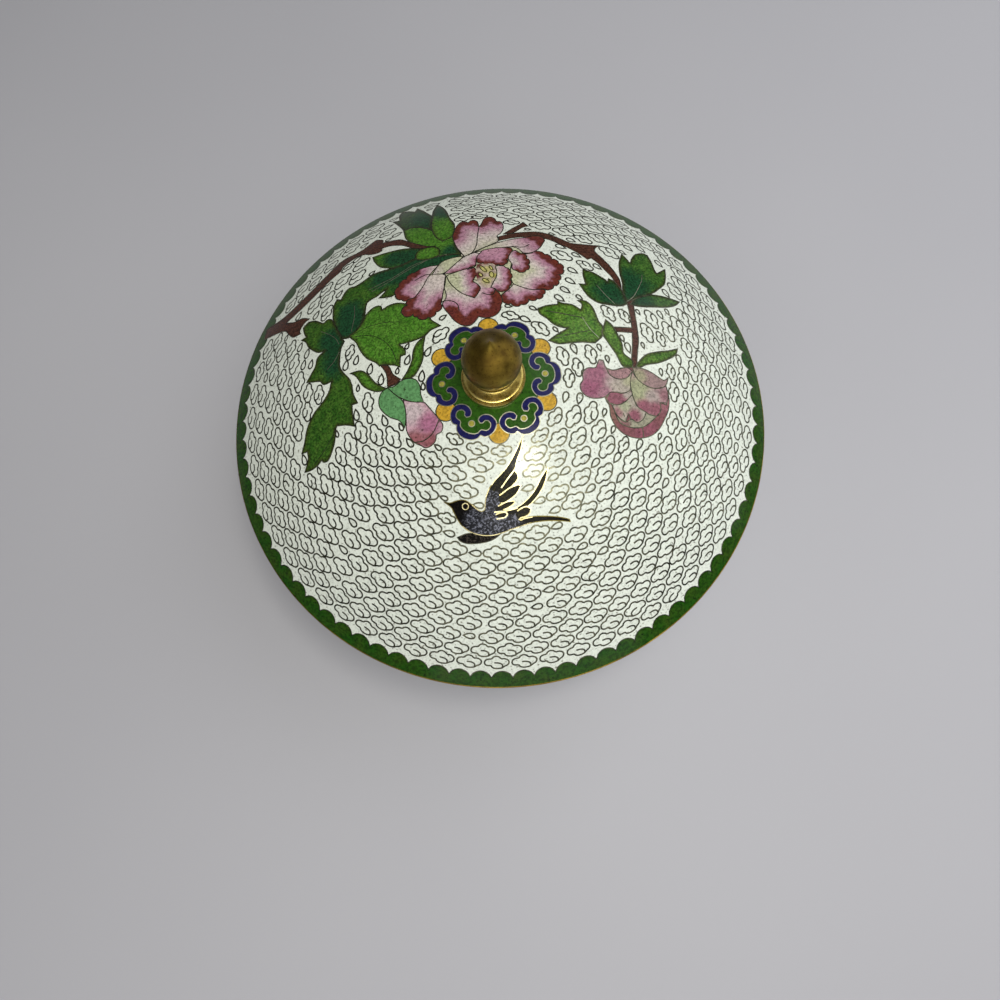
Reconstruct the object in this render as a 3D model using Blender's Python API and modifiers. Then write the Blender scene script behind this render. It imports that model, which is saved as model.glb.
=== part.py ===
"""Cloisonne lidded bowl: a domed enamelled lid with a turned brass finial on a footed bowl.

Every piece is turned about the Z axis.  Metres, +Z up.  The origin is on the table, at the
centre of the foot ring, and the lid lies in place on the bowl.
"""
import math

import bpy

MM = 0.001

# Driving dimensions.
RIM_RADIUS = 110.0 * MM       # widest circle, where the lid meets the bowl
RIM_HEIGHT = 80.0 * MM        # table to the lower edge of the lid's dome
DOME_RISE = 40.0 * MM         # dome's edge to its crown
WALL = 2.0 * MM               # copper sheet with enamel on both faces
GAP = 0.3 * MM                # kept between pieces that touch

# Brass bands round the two mouths, and the lid's locating flange.
BAND_PROUD = 0.4 * MM         # the bands stand this far outside the enamel
LID_BAND = 1.4 * MM           # height of the lid's band below the dome's edge
BOWL_BAND = 1.5 * MM          # height of the bowl's band
EDGE_ROUND = 0.3 * MM         # broken edges of the bands
FLANGE_PLAY = 1.0 * MM        # between the flange and the bowl's wall
FLANGE_WALL = 1.4 * MM
FLANGE_DEPTH = 5.0 * MM       # flange below the lid's band

# Bowl body: a superellipse from the mouth to the underside.
BOWL_UNDERSIDE = 6.5 * MM     # lowest point of the body, above the table
BOWL_FULLNESS = 2.3           # 2 is an ellipse, more is a fuller belly

# Foot ring.
FOOT_RADIUS = 50.5 * MM       # outside, on the table
FOOT_NECK = 48.6 * MM         # outside, under the body
FOOT_WALL = 2.4 * MM
FOOT_ROUND = 0.6 * MM

# Finial: its seat, collar, waist and pointed knob, with heights above the dome's edge.
SEAT_RADIUS = 11.8 * MM
SEAT_LIP = 0.6 * MM
SEAT_FLOOR = 40.7 * MM
SEAT_TOP = 41.2 * MM
COLLAR_RADIUS = 11.0 * MM
COLLAR_TOP = 42.7 * MM
WAIST_RADIUS = 6.4 * MM
WAIST_HEIGHT = 44.6 * MM
BEAD_RADIUS = 8.6 * MM
BEAD_HEIGHT = 46.6 * MM
BEAD_ROUND = 0.8 * MM
KNOB_RADIUS = 10.6 * MM
KNOB_HEIGHT = 55.3 * MM       # centre of the knob's round part
KNOB_FROM = 34.0              # degrees from the top, where the point leaves the round part
KNOB_TO = 134.0               # degrees from the top, where the round part meets the bead
TIP_HEIGHT = 70.0 * MM

# Facets.
ROUND_STEPS = 64
FINIAL_STEPS = 32
DOME_STEPS = 9
DOME_INNER_STEPS = 7
BOWL_STEPS = 11
BOWL_INNER_STEPS = 9
KNOB_STEPS = 9
TIP_STEPS = 5

# Worked out from the above.
DOME_SPHERE = (RIM_RADIUS**2 + DOME_RISE**2) / (2 * DOME_RISE)
DOME_CENTRE = RIM_HEIGHT + DOME_RISE - DOME_SPHERE
ENAMEL_RADIUS = RIM_RADIUS - BAND_PROUD
LID_EDGE = DOME_CENTRE + math.sqrt(DOME_SPHERE**2 - ENAMEL_RADIUS**2)
LID_BAND_TOP = LID_EDGE - GAP
LID_BAND_FOOT = RIM_HEIGHT - LID_BAND
BOWL_BAND_TOP = LID_BAND_FOOT - GAP
BOWL_BAND_FOOT = BOWL_BAND_TOP - BOWL_BAND
BOWL_TOP = BOWL_BAND_FOOT - GAP
BOWL_INSIDE = ENAMEL_RADIUS - WALL
FLANGE_OUTSIDE = BOWL_INSIDE - FLANGE_PLAY
FLANGE_INSIDE = FLANGE_OUTSIDE - FLANGE_WALL
FLANGE_FOOT = LID_BAND_FOOT - FLANGE_DEPTH


def clear_scene():
    """Remove every object that the file opened with."""
    for thing in list(bpy.data.objects):
        bpy.data.objects.remove(thing, do_unlink=True)


def make_material(name, colour, roughness, metallic):
    """A Principled material with one colour."""
    material = bpy.data.materials.new(name)
    material.use_nodes = True
    shader = material.node_tree.nodes["Principled BSDF"]
    shader.inputs["Base Color"].default_value = (*colour, 1.0)
    shader.inputs["Roughness"].default_value = roughness
    shader.inputs["Metallic"].default_value = metallic
    return material


def turned(name, profile, steps, material, collection, closed=True):
    """Turn a profile of (radius, height) points about Z.

    The profile runs down its outer side.  A closed one is a ring's section, an open one
    starts and ends on the axis.
    """
    mesh = bpy.data.meshes.new(name)
    edges = [(i, i + 1) for i in range(len(profile) - 1)]
    if closed:
        edges.append((len(profile) - 1, 0))
    mesh.from_pydata([(radius, 0.0, height) for radius, height in profile], edges, [])
    piece = bpy.data.objects.new(name, mesh)
    collection.objects.link(piece)
    screw = piece.modifiers.new("Screw", "SCREW")
    screw.axis = "Z"
    screw.steps = steps
    screw.render_steps = steps
    screw.use_merge_vertices = True
    screw.merge_threshold = 0.00001
    bpy.context.view_layer.objects.active = piece
    bpy.ops.object.modifier_apply(modifier=screw.name)
    mesh.shade_smooth()
    mesh.set_sharp_from_angle(angle=math.radians(35))
    mesh.materials.append(material)
    return piece


def arc(radius, centre_height, start, end, steps):
    """Points of a circle centred on the axis; angles in degrees, from straight up."""
    angles = [math.radians(start + (end - start) * i / steps) for i in range(steps + 1)]
    return [(radius * math.sin(a), centre_height + radius * math.cos(a)) for a in angles]


def dome_height(radius, sphere=DOME_SPHERE):
    """Height of the dome's surface, or of a sphere inside it, at a distance from the axis."""
    return DOME_CENTRE + math.sqrt(sphere**2 - radius**2)


def bowl_height(radius):
    """Height of the bowl's outside at a distance from the axis."""
    drop = 1 - (radius / ENAMEL_RADIUS) ** BOWL_FULLNESS
    return BOWL_TOP - (BOWL_TOP - BOWL_UNDERSIDE) * drop ** (1 / BOWL_FULLNESS)


def bowl_wall(mouth, depth, steps):
    """Points of the body's wall, from the mouth down to the axis."""
    power = 2 / BOWL_FULLNESS
    points = [(mouth, BOWL_TOP)]
    for i in range(1, steps):
        a = math.pi / 2 * (1 - i / steps)
        points.append((mouth * math.sin(a) ** power, BOWL_TOP - depth * math.cos(a) ** power))
    points.append((0.0, BOWL_TOP - depth))
    return points


def bezier(start, pull_start, pull_end, end, steps):
    """Points of a cubic curve, with its ends."""
    points = []
    for i in range(steps + 1):
        t = i / steps
        weights = ((1 - t) ** 3, 3 * t * (1 - t) ** 2, 3 * t * t * (1 - t), t**3)
        corners = (start, pull_start, pull_end, end)
        points.append(tuple(sum(w * c[k] for w, c in zip(weights, corners)) for k in (0, 1)))
    return points


def make_lid_shell(material, collection):
    """The enamelled dome: a spherical cap of even wall, open below."""
    inner = DOME_SPHERE - WALL
    outer_end = math.degrees(math.asin(ENAMEL_RADIUS / DOME_SPHERE))
    inner_end = math.degrees(math.acos((LID_EDGE - DOME_CENTRE) / inner))
    outside = arc(DOME_SPHERE, DOME_CENTRE, 0.0, outer_end, DOME_STEPS)
    inside = arc(inner, DOME_CENTRE, inner_end, 0.0, DOME_INNER_STEPS)
    return turned("lid_shell", outside + inside, ROUND_STEPS, material, collection, closed=False)


def make_lid_rim(material, collection):
    """Brass band under the dome's edge, with the flange that drops inside the bowl."""
    profile = [
        (RIM_RADIUS - EDGE_ROUND, LID_BAND_TOP),
        (RIM_RADIUS, LID_BAND_TOP - EDGE_ROUND),
        (RIM_RADIUS, LID_BAND_FOOT + EDGE_ROUND),
        (RIM_RADIUS - EDGE_ROUND, LID_BAND_FOOT),
        (FLANGE_OUTSIDE, LID_BAND_FOOT),
        (FLANGE_OUTSIDE, FLANGE_FOOT + EDGE_ROUND),
        (FLANGE_OUTSIDE - EDGE_ROUND, FLANGE_FOOT),
        (FLANGE_INSIDE, FLANGE_FOOT),
        (FLANGE_INSIDE, LID_BAND_TOP),
    ]
    return turned("lid_rim", profile, ROUND_STEPS, material, collection)


def make_finial_seat(material, collection):
    """Brass dish on the dome's crown, with a raised lip round the finial's collar."""
    outer = SEAT_RADIUS
    lip_inside = SEAT_RADIUS - SEAT_LIP
    top = RIM_HEIGHT + SEAT_TOP
    under = outer - SEAT_LIP / 2
    profile = [
        (0.0, RIM_HEIGHT + SEAT_FLOOR),
        (lip_inside, RIM_HEIGHT + SEAT_FLOOR),
        (lip_inside, top - SEAT_LIP / 4),
        (lip_inside + SEAT_LIP / 4, top),
        (outer - SEAT_LIP / 4, top),
        (outer, top - SEAT_LIP / 3),
        (outer, dome_height(outer) + GAP + SEAT_LIP / 4),
        (under, dome_height(under) + GAP),
        (0.0, dome_height(0.0) + GAP),
    ]
    return turned("finial_seat", profile, FINIAL_STEPS, material, collection, closed=False)


def make_finial(material, collection):
    """Turned brass finial: pointed knob, bead, waist and flared collar, in one piece."""
    base = RIM_HEIGHT
    knob = arc(KNOB_RADIUS, base + KNOB_HEIGHT, KNOB_FROM, KNOB_TO, KNOB_STEPS)
    shoulder = math.radians(KNOB_FROM)
    pull = 3.0 * MM
    tip = bezier(
        (0.0, base + TIP_HEIGHT),
        (0.6 * MM, base + TIP_HEIGHT - 2.6 * MM),
        (knob[0][0] - pull * math.cos(shoulder), knob[0][1] + pull * math.sin(shoulder)),
        knob[0],
        TIP_STEPS,
    )
    bead = [
        (BEAD_RADIUS - BEAD_ROUND / 2, base + BEAD_HEIGHT + BEAD_ROUND),
        (BEAD_RADIUS, base + BEAD_HEIGHT),
        (BEAD_RADIUS - BEAD_ROUND / 2, base + BEAD_HEIGHT - BEAD_ROUND),
    ]
    foot = base + SEAT_FLOOR + GAP
    lip = base + COLLAR_TOP
    collar = bezier(
        (WAIST_RADIUS, base + WAIST_HEIGHT),
        (WAIST_RADIUS, lip),
        (WAIST_RADIUS + 1.5 * MM, lip),
        (COLLAR_RADIUS - 0.4 * MM, lip),
        3,
    )
    edge = [
        (COLLAR_RADIUS, lip - 0.4 * MM),
        (COLLAR_RADIUS - 0.5 * MM, foot + 0.4 * MM),
        (COLLAR_RADIUS - 0.9 * MM, foot),
        (0.0, foot),
    ]
    profile = tip[:-1] + knob + bead + collar + edge
    return turned("finial", profile, FINIAL_STEPS, material, collection, closed=False)


def make_bowl_shell(material, collection):
    """The enamelled bowl: an even wall from the mouth to a shallow rounded floor."""
    depth = BOWL_TOP - BOWL_UNDERSIDE
    outside = bowl_wall(ENAMEL_RADIUS, depth, BOWL_STEPS)
    inside = bowl_wall(BOWL_INSIDE, depth - WALL, BOWL_INNER_STEPS)
    profile = list(reversed(inside)) + outside
    return turned("bowl_shell", profile, ROUND_STEPS, material, collection, closed=False)


def make_bowl_rim(material, collection):
    """Brass band round the bowl's mouth."""
    profile = [
        (RIM_RADIUS - EDGE_ROUND, BOWL_BAND_TOP),
        (RIM_RADIUS, BOWL_BAND_TOP - EDGE_ROUND),
        (RIM_RADIUS, BOWL_BAND_FOOT + EDGE_ROUND),
        (RIM_RADIUS - EDGE_ROUND, BOWL_BAND_FOOT),
        (BOWL_INSIDE, BOWL_BAND_FOOT),
        (BOWL_INSIDE, BOWL_BAND_TOP),
    ]
    return turned("bowl_rim", profile, ROUND_STEPS, material, collection)


def make_foot_ring(material, collection):
    """Brass foot ring, flared to the table and cut to the body's slope above."""
    neck_inside = FOOT_NECK - FOOT_WALL
    foot_inside = FOOT_RADIUS - FOOT_WALL
    profile = [
        (FOOT_NECK, bowl_height(FOOT_NECK) - GAP),
        ((FOOT_NECK + FOOT_RADIUS) / 2 - FOOT_ROUND, bowl_height(FOOT_NECK) / 2),
        (FOOT_RADIUS, 2 * FOOT_ROUND),
        (FOOT_RADIUS, FOOT_ROUND),
        (FOOT_RADIUS - FOOT_ROUND, 0.0),
        (foot_inside, 0.0),
        (neck_inside, bowl_height(neck_inside) / 2),
        (neck_inside, bowl_height(neck_inside) - GAP),
    ]
    return turned("foot_ring", profile, ROUND_STEPS, material, collection)


def main():
    clear_scene()
    collection = bpy.data.collections.new("cloisonne_lidded_bowl")
    bpy.context.scene.collection.children.link(collection)
    enamel = make_material("white_enamel", (0.80, 0.81, 0.76), 0.16, 0.0)
    brass = make_material("aged_brass", (0.48, 0.33, 0.10), 0.30, 1.0)
    make_lid_shell(enamel, collection)
    make_lid_rim(brass, collection)
    make_finial_seat(brass, collection)
    make_finial(brass, collection)
    make_bowl_shell(enamel, collection)
    make_bowl_rim(brass, collection)
    make_foot_ring(brass, collection)


main()
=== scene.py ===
"""Looks of the cloisonne lidded bowl: enamel fields, their wires, the turned brass, the studio.

The enamel is drawn in plan coordinates: millimetres on the unrolled skin of the lid or the
bowl, x to the right, y away from the camera.  The distance from the plan's middle is the
distance along the skin from the axis.  Each closed outline is a field of enamel, a later field
covers an earlier one, and wires stand on the lines where fields meet.
"""

import math
import random
from collections import namedtuple
from functools import partial

import bpy
import numpy as np
from mathutils import Matrix, Vector, noise
from mathutils.geometry import delaunay_2d_cdt


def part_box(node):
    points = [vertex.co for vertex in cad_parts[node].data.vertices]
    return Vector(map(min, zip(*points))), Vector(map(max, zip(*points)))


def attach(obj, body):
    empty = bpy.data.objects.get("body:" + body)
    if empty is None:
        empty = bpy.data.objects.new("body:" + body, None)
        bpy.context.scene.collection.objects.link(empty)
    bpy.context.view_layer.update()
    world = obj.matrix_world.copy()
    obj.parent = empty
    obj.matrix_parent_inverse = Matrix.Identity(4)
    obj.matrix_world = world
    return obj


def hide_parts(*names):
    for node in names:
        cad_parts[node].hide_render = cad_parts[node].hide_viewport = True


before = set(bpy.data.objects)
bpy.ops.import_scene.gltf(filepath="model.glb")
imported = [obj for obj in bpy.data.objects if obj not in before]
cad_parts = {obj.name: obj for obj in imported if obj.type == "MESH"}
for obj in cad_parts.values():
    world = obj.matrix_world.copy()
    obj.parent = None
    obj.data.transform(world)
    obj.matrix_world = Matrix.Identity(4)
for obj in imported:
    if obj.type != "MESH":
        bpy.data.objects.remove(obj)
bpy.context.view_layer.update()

MM = 0.001
TAU = 2 * math.pi

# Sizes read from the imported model, in millimetres.
lid_low, lid_high = (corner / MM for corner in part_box("lid_shell"))
bowl_low, bowl_high = (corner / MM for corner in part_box("bowl_shell"))
rim_low, rim_high = (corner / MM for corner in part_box("lid_rim"))
band_low, band_high = (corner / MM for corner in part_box("bowl_rim"))
seat_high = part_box("finial_seat")[1] / MM
finial_low, finial_high = (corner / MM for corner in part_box("finial"))
foot_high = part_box("foot_ring")[1] / MM

ENAMEL_RADIUS = lid_high.x
DOME_RISE = lid_high.z - lid_low.z
DOME_SPHERE = (ENAMEL_RADIUS**2 + DOME_RISE**2) / (2 * DOME_RISE)
DOME_CENTRE = lid_high.z - DOME_SPHERE
BOWL_POWER = 2 / 2.3          # power of sine and cosine in the bowl's superellipse
WALL = 2.0                    # copper sheet with enamel on both faces
ENAMEL = 0.5                  # depth of the enamel fields in that wall
GRID_ROWS = 0.87              # room between the rows of a triangular grid, by its spacing
MERGE = 0.004                 # plan points nearer than this become one
PINCH_GAP = 0.03              # how far a field is pulled back where it touches only itself
WIRE_OVERLAP = 0.04           # how far a wire's ends run on past its line
LONGEST_MITRE = 1.7           # widening of a wire in a sharp turn, at most
LOBE = [(0.16, 0.72), (0.5, 1.0), (0.84, 0.72)]    # shares of a lobe's width and height
LOBE_ROUNDING = 0.62          # power of the sine that shapes a border's lobe

# ---------------------------------------------------------------- colours, as seen (sRGB, 0-255)
WHITE = (234, 241, 233)
BORDER_GREEN = (32, 82, 12)
BORDER_BROWN = (58, 84, 22)
COLLAR_GREEN = (46, 90, 18)
NAVY = (30, 30, 90)
YELLOW = (212, 168, 56)
DOT_YELLOW = (178, 170, 76)
MAROON = (104, 48, 46)
RUST = (114, 52, 38)
MAUVE = (188, 136, 160)
LILAC = (220, 206, 204)
CREAM = (202, 204, 172)
LEAF = (72, 130, 34)
LEAF_BRIGHT = (106, 160, 58)
LEAF_BROWN = (62, 54, 24)
TEAL = (30, 80, 48)
BRANCH = (90, 56, 44)
JADE = (104, 160, 104)
DUSKY = (160, 100, 108)
STAMEN = (176, 172, 84)
BIRD_BLACK = (22, 17, 14)
# Dark feather enamel with a painted warm sheen mixed into its colour.
FEATHER = (54, 50, 18)
SPECKLE = (128, 131, 147)
TURQUOISE = (52, 146, 150)


def linear(colour):
    """Linear RGB of a colour given as seen."""
    c = np.asarray(colour, float) / 255.0
    return np.where(c <= 0.04045, c / 12.92, ((c + 0.055) / 1.055) ** 2.4)


# ---------------------------------------------------------------- skins

class Skin:
    """A turned surface and its plan: plan radius is the distance along it from the axis."""

    def __init__(self, radii, heights, side):
        """side is 1 where the plan is seen from above the skin, and -1 from below."""
        self.side = side
        self.radii = np.asarray(radii)
        self.heights = np.asarray(heights)
        steps = np.hypot(np.diff(self.radii), np.diff(self.heights))
        self.reach = np.concatenate([[0.0], np.cumsum(steps)])
        self.edge = float(self.reach[-1])
        self.out_r = -np.gradient(self.heights, self.reach) * side
        self.out_z = np.gradient(self.radii, self.reach) * side

    def girth(self, rho):
        """True distance from the axis at a plan radius."""
        return np.interp(rho, self.reach, self.radii)

    def turned(self, plan, radial, upright):
        """Radial and upright values along the skin, as vectors at plan points."""
        rho = np.hypot(plan[:, 0], plan[:, 1])
        turn = np.arctan2(plan[:, 1], plan[:, 0])
        r = np.interp(rho, self.reach, radial)
        z = np.interp(rho, self.reach, upright)
        return np.stack([r * np.cos(turn), r * np.sin(turn), z], 1)

    def outward(self, plan):
        """Unit normals of the skin at plan points."""
        return self.turned(plan, self.out_r, self.out_z)

    def place(self, plan, lift=0.0):
        """Points in millimetres at plan points, raised by lift off the skin."""
        plan = np.asarray(plan, float)
        return self.turned(plan, self.radii, self.heights) + lift * self.outward(plan)


def lid_skin():
    """The dome's outside, a spherical cap."""
    angles = np.linspace(0.0, math.asin(ENAMEL_RADIUS / DOME_SPHERE), 400)
    return Skin(DOME_SPHERE * np.sin(angles), DOME_CENTRE + DOME_SPHERE * np.cos(angles), 1)


def bowl_curve(radius, low, steps):
    """A superellipse from the axis at a height up to the mouth, as radii and heights."""
    angles = np.linspace(0.0, math.pi / 2, steps)
    radii = radius * np.sin(angles) ** BOWL_POWER
    return radii, bowl_high.z - (bowl_high.z - low) * np.cos(angles).clip(0, 1) ** BOWL_POWER


def bowl_skin():
    """The bowl's outside, from the underside to the mouth."""
    return Skin(*bowl_curve(bowl_high.x, bowl_low.z, 900), -1)


# ---------------------------------------------------------------- lines

def spline(points, closed=True, step=0.8, sharp=66.0):
    """A smooth line through the points, as short steps.  Sharp turns stay corners."""
    p = np.asarray(points, float)
    after = np.roll(p, -1, 0) - p
    length = np.hypot(after[:, 0], after[:, 1])
    along = (after + np.roll(after, 1, 0)) / (length + np.roll(length, 1))[:, None]
    ahead = after / length[:, None]
    behind = np.roll(ahead, 1, 0)
    corner = ((ahead * behind).sum(1) < math.cos(math.radians(sharp)))[:, None]
    leave = np.where(corner, ahead, along)
    arrive = np.where(corner, behind, along)
    if not closed:
        leave[0] = ahead[0]
        arrive[-1] = behind[-1]
    line = []
    for i in range(len(p) if closed else len(p) - 1):
        j = (i + 1) % len(p)
        count = max(1, int(math.ceil(length[i] / step)))
        t = (np.arange(count) / count)[:, None]
        line.append(
            (1 + 2 * t) * (1 - t) ** 2 * p[i]
            + t * (1 - t) ** 2 * length[i] * leave[i]
            + t * t * (3 - 2 * t) * p[j]
            + t * t * (t - 1) * length[i] * arrive[j]
        )
    if not closed:
        line.append(p[-1:])
    return np.concatenate(line)


def resample(line, count, closed=True):
    """The same line in an even number of steps."""
    full = np.vstack([line, line[:1]]) if closed else line
    reach = np.concatenate([[0.0], np.cumsum(np.hypot(*np.diff(full, axis=0).T))])
    at = np.linspace(0.0, reach[-1], count + 1)[: count if closed else None]
    return np.stack([np.interp(at, reach, full[:, k]) for k in (0, 1)], 1)


def circle(radius, steps, centre=(0.0, 0.0)):
    """A circle in the plan."""
    turn = np.arange(steps) * TAU / steps
    return np.stack([centre[0] + radius * np.cos(turn), centre[1] + radius * np.sin(turn)], 1)


def frill(cusps, bulge=0.3):
    """Control points of a row of lobes between cusps, on the left of the way they run."""
    p = np.asarray(cusps, float)
    line = [p[0]]
    for a, b in zip(p, p[1:]):
        along = b - a
        out = np.array([-along[1], along[0]]) * bulge
        line += [a + share * along + rise * out for share, rise in LOBE] + [b]
    return [tuple(q) for q in line]


def scallops(rho_cusp, rho_top, count, steps=8):
    """A ring of lobes that bulge towards the plan's middle."""
    line = []
    for i in range(count * steps):
        bulge = math.sin(math.pi * (i % steps / steps)) ** LOBE_ROUNDING
        rho = rho_cusp + (rho_top - rho_cusp) * bulge
        turn = TAU * i / (count * steps)
        line.append((rho * math.cos(turn), rho * math.sin(turn)))
    return np.array(line)


def turned_points(points, angle):
    """Plan points given as (radius, across), turned to an angle in degrees."""
    x, y = np.asarray(points, float).T
    c = math.cos(math.radians(angle))
    s = math.sin(math.radians(angle))
    return np.stack([x * c - y * s, x * s + y * c], 1)


def inside(points, outline):
    """Which points lie inside a closed outline."""
    found = np.zeros(len(points), bool)
    near = np.flatnonzero(((points >= outline.min(0)) & (points <= outline.max(0))).all(1))
    a = outline
    b = np.roll(outline, -1, 0)
    rise = np.where(b[:, 1] == a[:, 1], 1e-9, b[:, 1] - a[:, 1])
    lean = (b[:, 0] - a[:, 0]) / rise
    for part in np.array_split(near, len(near) // 4000 + 1):
        x, y = points[part].T[:, :, None]
        crosses = ((a[:, 1] > y) != (b[:, 1] > y)) & (x < lean * (y - a[:, 1]) + a[:, 0])
        found[part] = crosses.sum(1) % 2 == 1
    return found


def distance(points, line):
    """Distance of each point from an open line."""
    a = np.asarray(line[:-1], float)
    d = np.asarray(line[1:], float) - a
    size = np.maximum((d * d).sum(1), 1e-9)
    away = points[:, None, :] - a[None]
    t = ((away * d).sum(2) / size).clip(0, 1)
    return np.sqrt(((away - t[..., None] * d) ** 2).sum(2)).min(1)


def mottle(points, size, seed):
    """Smooth noise from -1 to 1 over plan points, with patches about size across."""
    return np.array([noise.noise(Vector((x / size, y / size, seed))) for x, y in points])


def ring_shape(skin, shape, rho, turn, up, scale):
    """A small shape set upright on a ring.  up is -1 towards the plan's middle and 1 away."""
    away = rho + up * shape[:, 1] * scale
    around = turn + shape[:, 0] * scale / skin.girth(away)
    return np.stack([away * np.cos(around), away * np.sin(around)], 1)


# ---------------------------------------------------------------- paint

def blend(low, high, share):
    """Mix of two colours by a share per point."""
    share = np.clip(share, 0.0, 1.0)[:, None]
    return np.asarray(low) * (1 - share) + np.asarray(high) * share


def smooth(x):
    """Smooth step of x from 0 to 1."""
    x = np.clip(x, 0.0, 1.0)
    return x * x * (3 - 2 * x)


def grained(colour, points, depth, size, seed):
    """The colour, a little darker and lighter in soft patches."""
    return colour * (1 + depth * mottle(points, size, seed))[:, None]


def from_spot(points, x, y, radius):
    """Distance of points from a spot, in its radii."""
    return np.hypot(points[:, 0] - x, points[:, 1] - y) / radius


def plain(colour, depth, size):
    """Paint of one colour."""
    return lambda points: grained(linear(colour), points, depth, size, 3.0)


def spots(base, *marks):
    """A ground colour with soft marks of (x, y, radius, colour) on it."""

    def paint(points):
        colour = linear(base)
        stray = 0.18 * mottle(points, 1.6, 5.0)
        for *spot, mark in marks:
            far = from_spot(points, *spot) + stray
            colour = blend(linear(mark), colour, smooth((far - 0.45) / 0.8))
        return grained(colour, points, 0.10, 0.9, 8.0)

    return paint


def petal(tips, deep=2.6, blush=6.0, heart=CREAM, reach=13.0, body=LILAC, flush=MAUVE):
    """Maroon along the free edges, then mauve, fading to lilac and to the heart's colour."""

    def paint(points):
        far = np.min([distance(points, spline(tip, closed=False)) for tip in tips], 0)
        far = far + 0.9 * mottle(points, 1.9, 1.0) + 0.5 * mottle(points, 0.9, 2.0)
        colour = blend(linear(body), linear(heart), smooth((far - deep - blush * 0.7) / reach))
        colour = blend(linear(flush), colour, smooth((far - deep - 0.5) / blush))
        rim = blend(linear(MAROON), linear(RUST), 0.5 + 0.9 * mottle(points, 3.1, 6.0))
        colour = blend(rim, colour, smooth((far - deep + 0.6) / 1.2))
        return grained(colour, points, 0.16, 1.1, 9.0)

    return paint


def foliage(outline, cores, base=LEAF, light=LEAF_BRIGHT):
    """Green with paler flecks, browned along the edge and teal towards its cores."""
    edge = np.vstack([outline, outline[:1]])

    def paint(points):
        fleck = mottle(points, 1.0, 4.0) + 0.8 * mottle(points, 3.2, 7.0)
        colour = blend(linear(base), linear(light), 0.40 + 0.75 * fleck)
        for core in cores:
            far = from_spot(points, *core) + 0.15 * fleck
            colour = blend(linear(TEAL), colour, smooth((far - 0.35) / 0.75))
        near = distance(points, edge) + 0.5 * mottle(points, 1.5, 2.0)
        return blend(colour, linear(LEAF_BROWN), 0.8 * (1 - smooth(near / 1.7)))

    return paint


def green_border(points):
    """The border's deep green with browned patches."""
    share = 0.35 + 0.8 * mottle(points, 5.0, 11.0) + 0.3 * mottle(points, 1.5, 12.0)
    return blend(linear(BORDER_GREEN), linear(BORDER_BROWN), share)


WOOD = plain(BRANCH, 0.35, 2.0)


# ---------------------------------------------------------------- drawings on a skin

Field = namedtuple("Field", "group outline paint wire inner")


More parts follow.
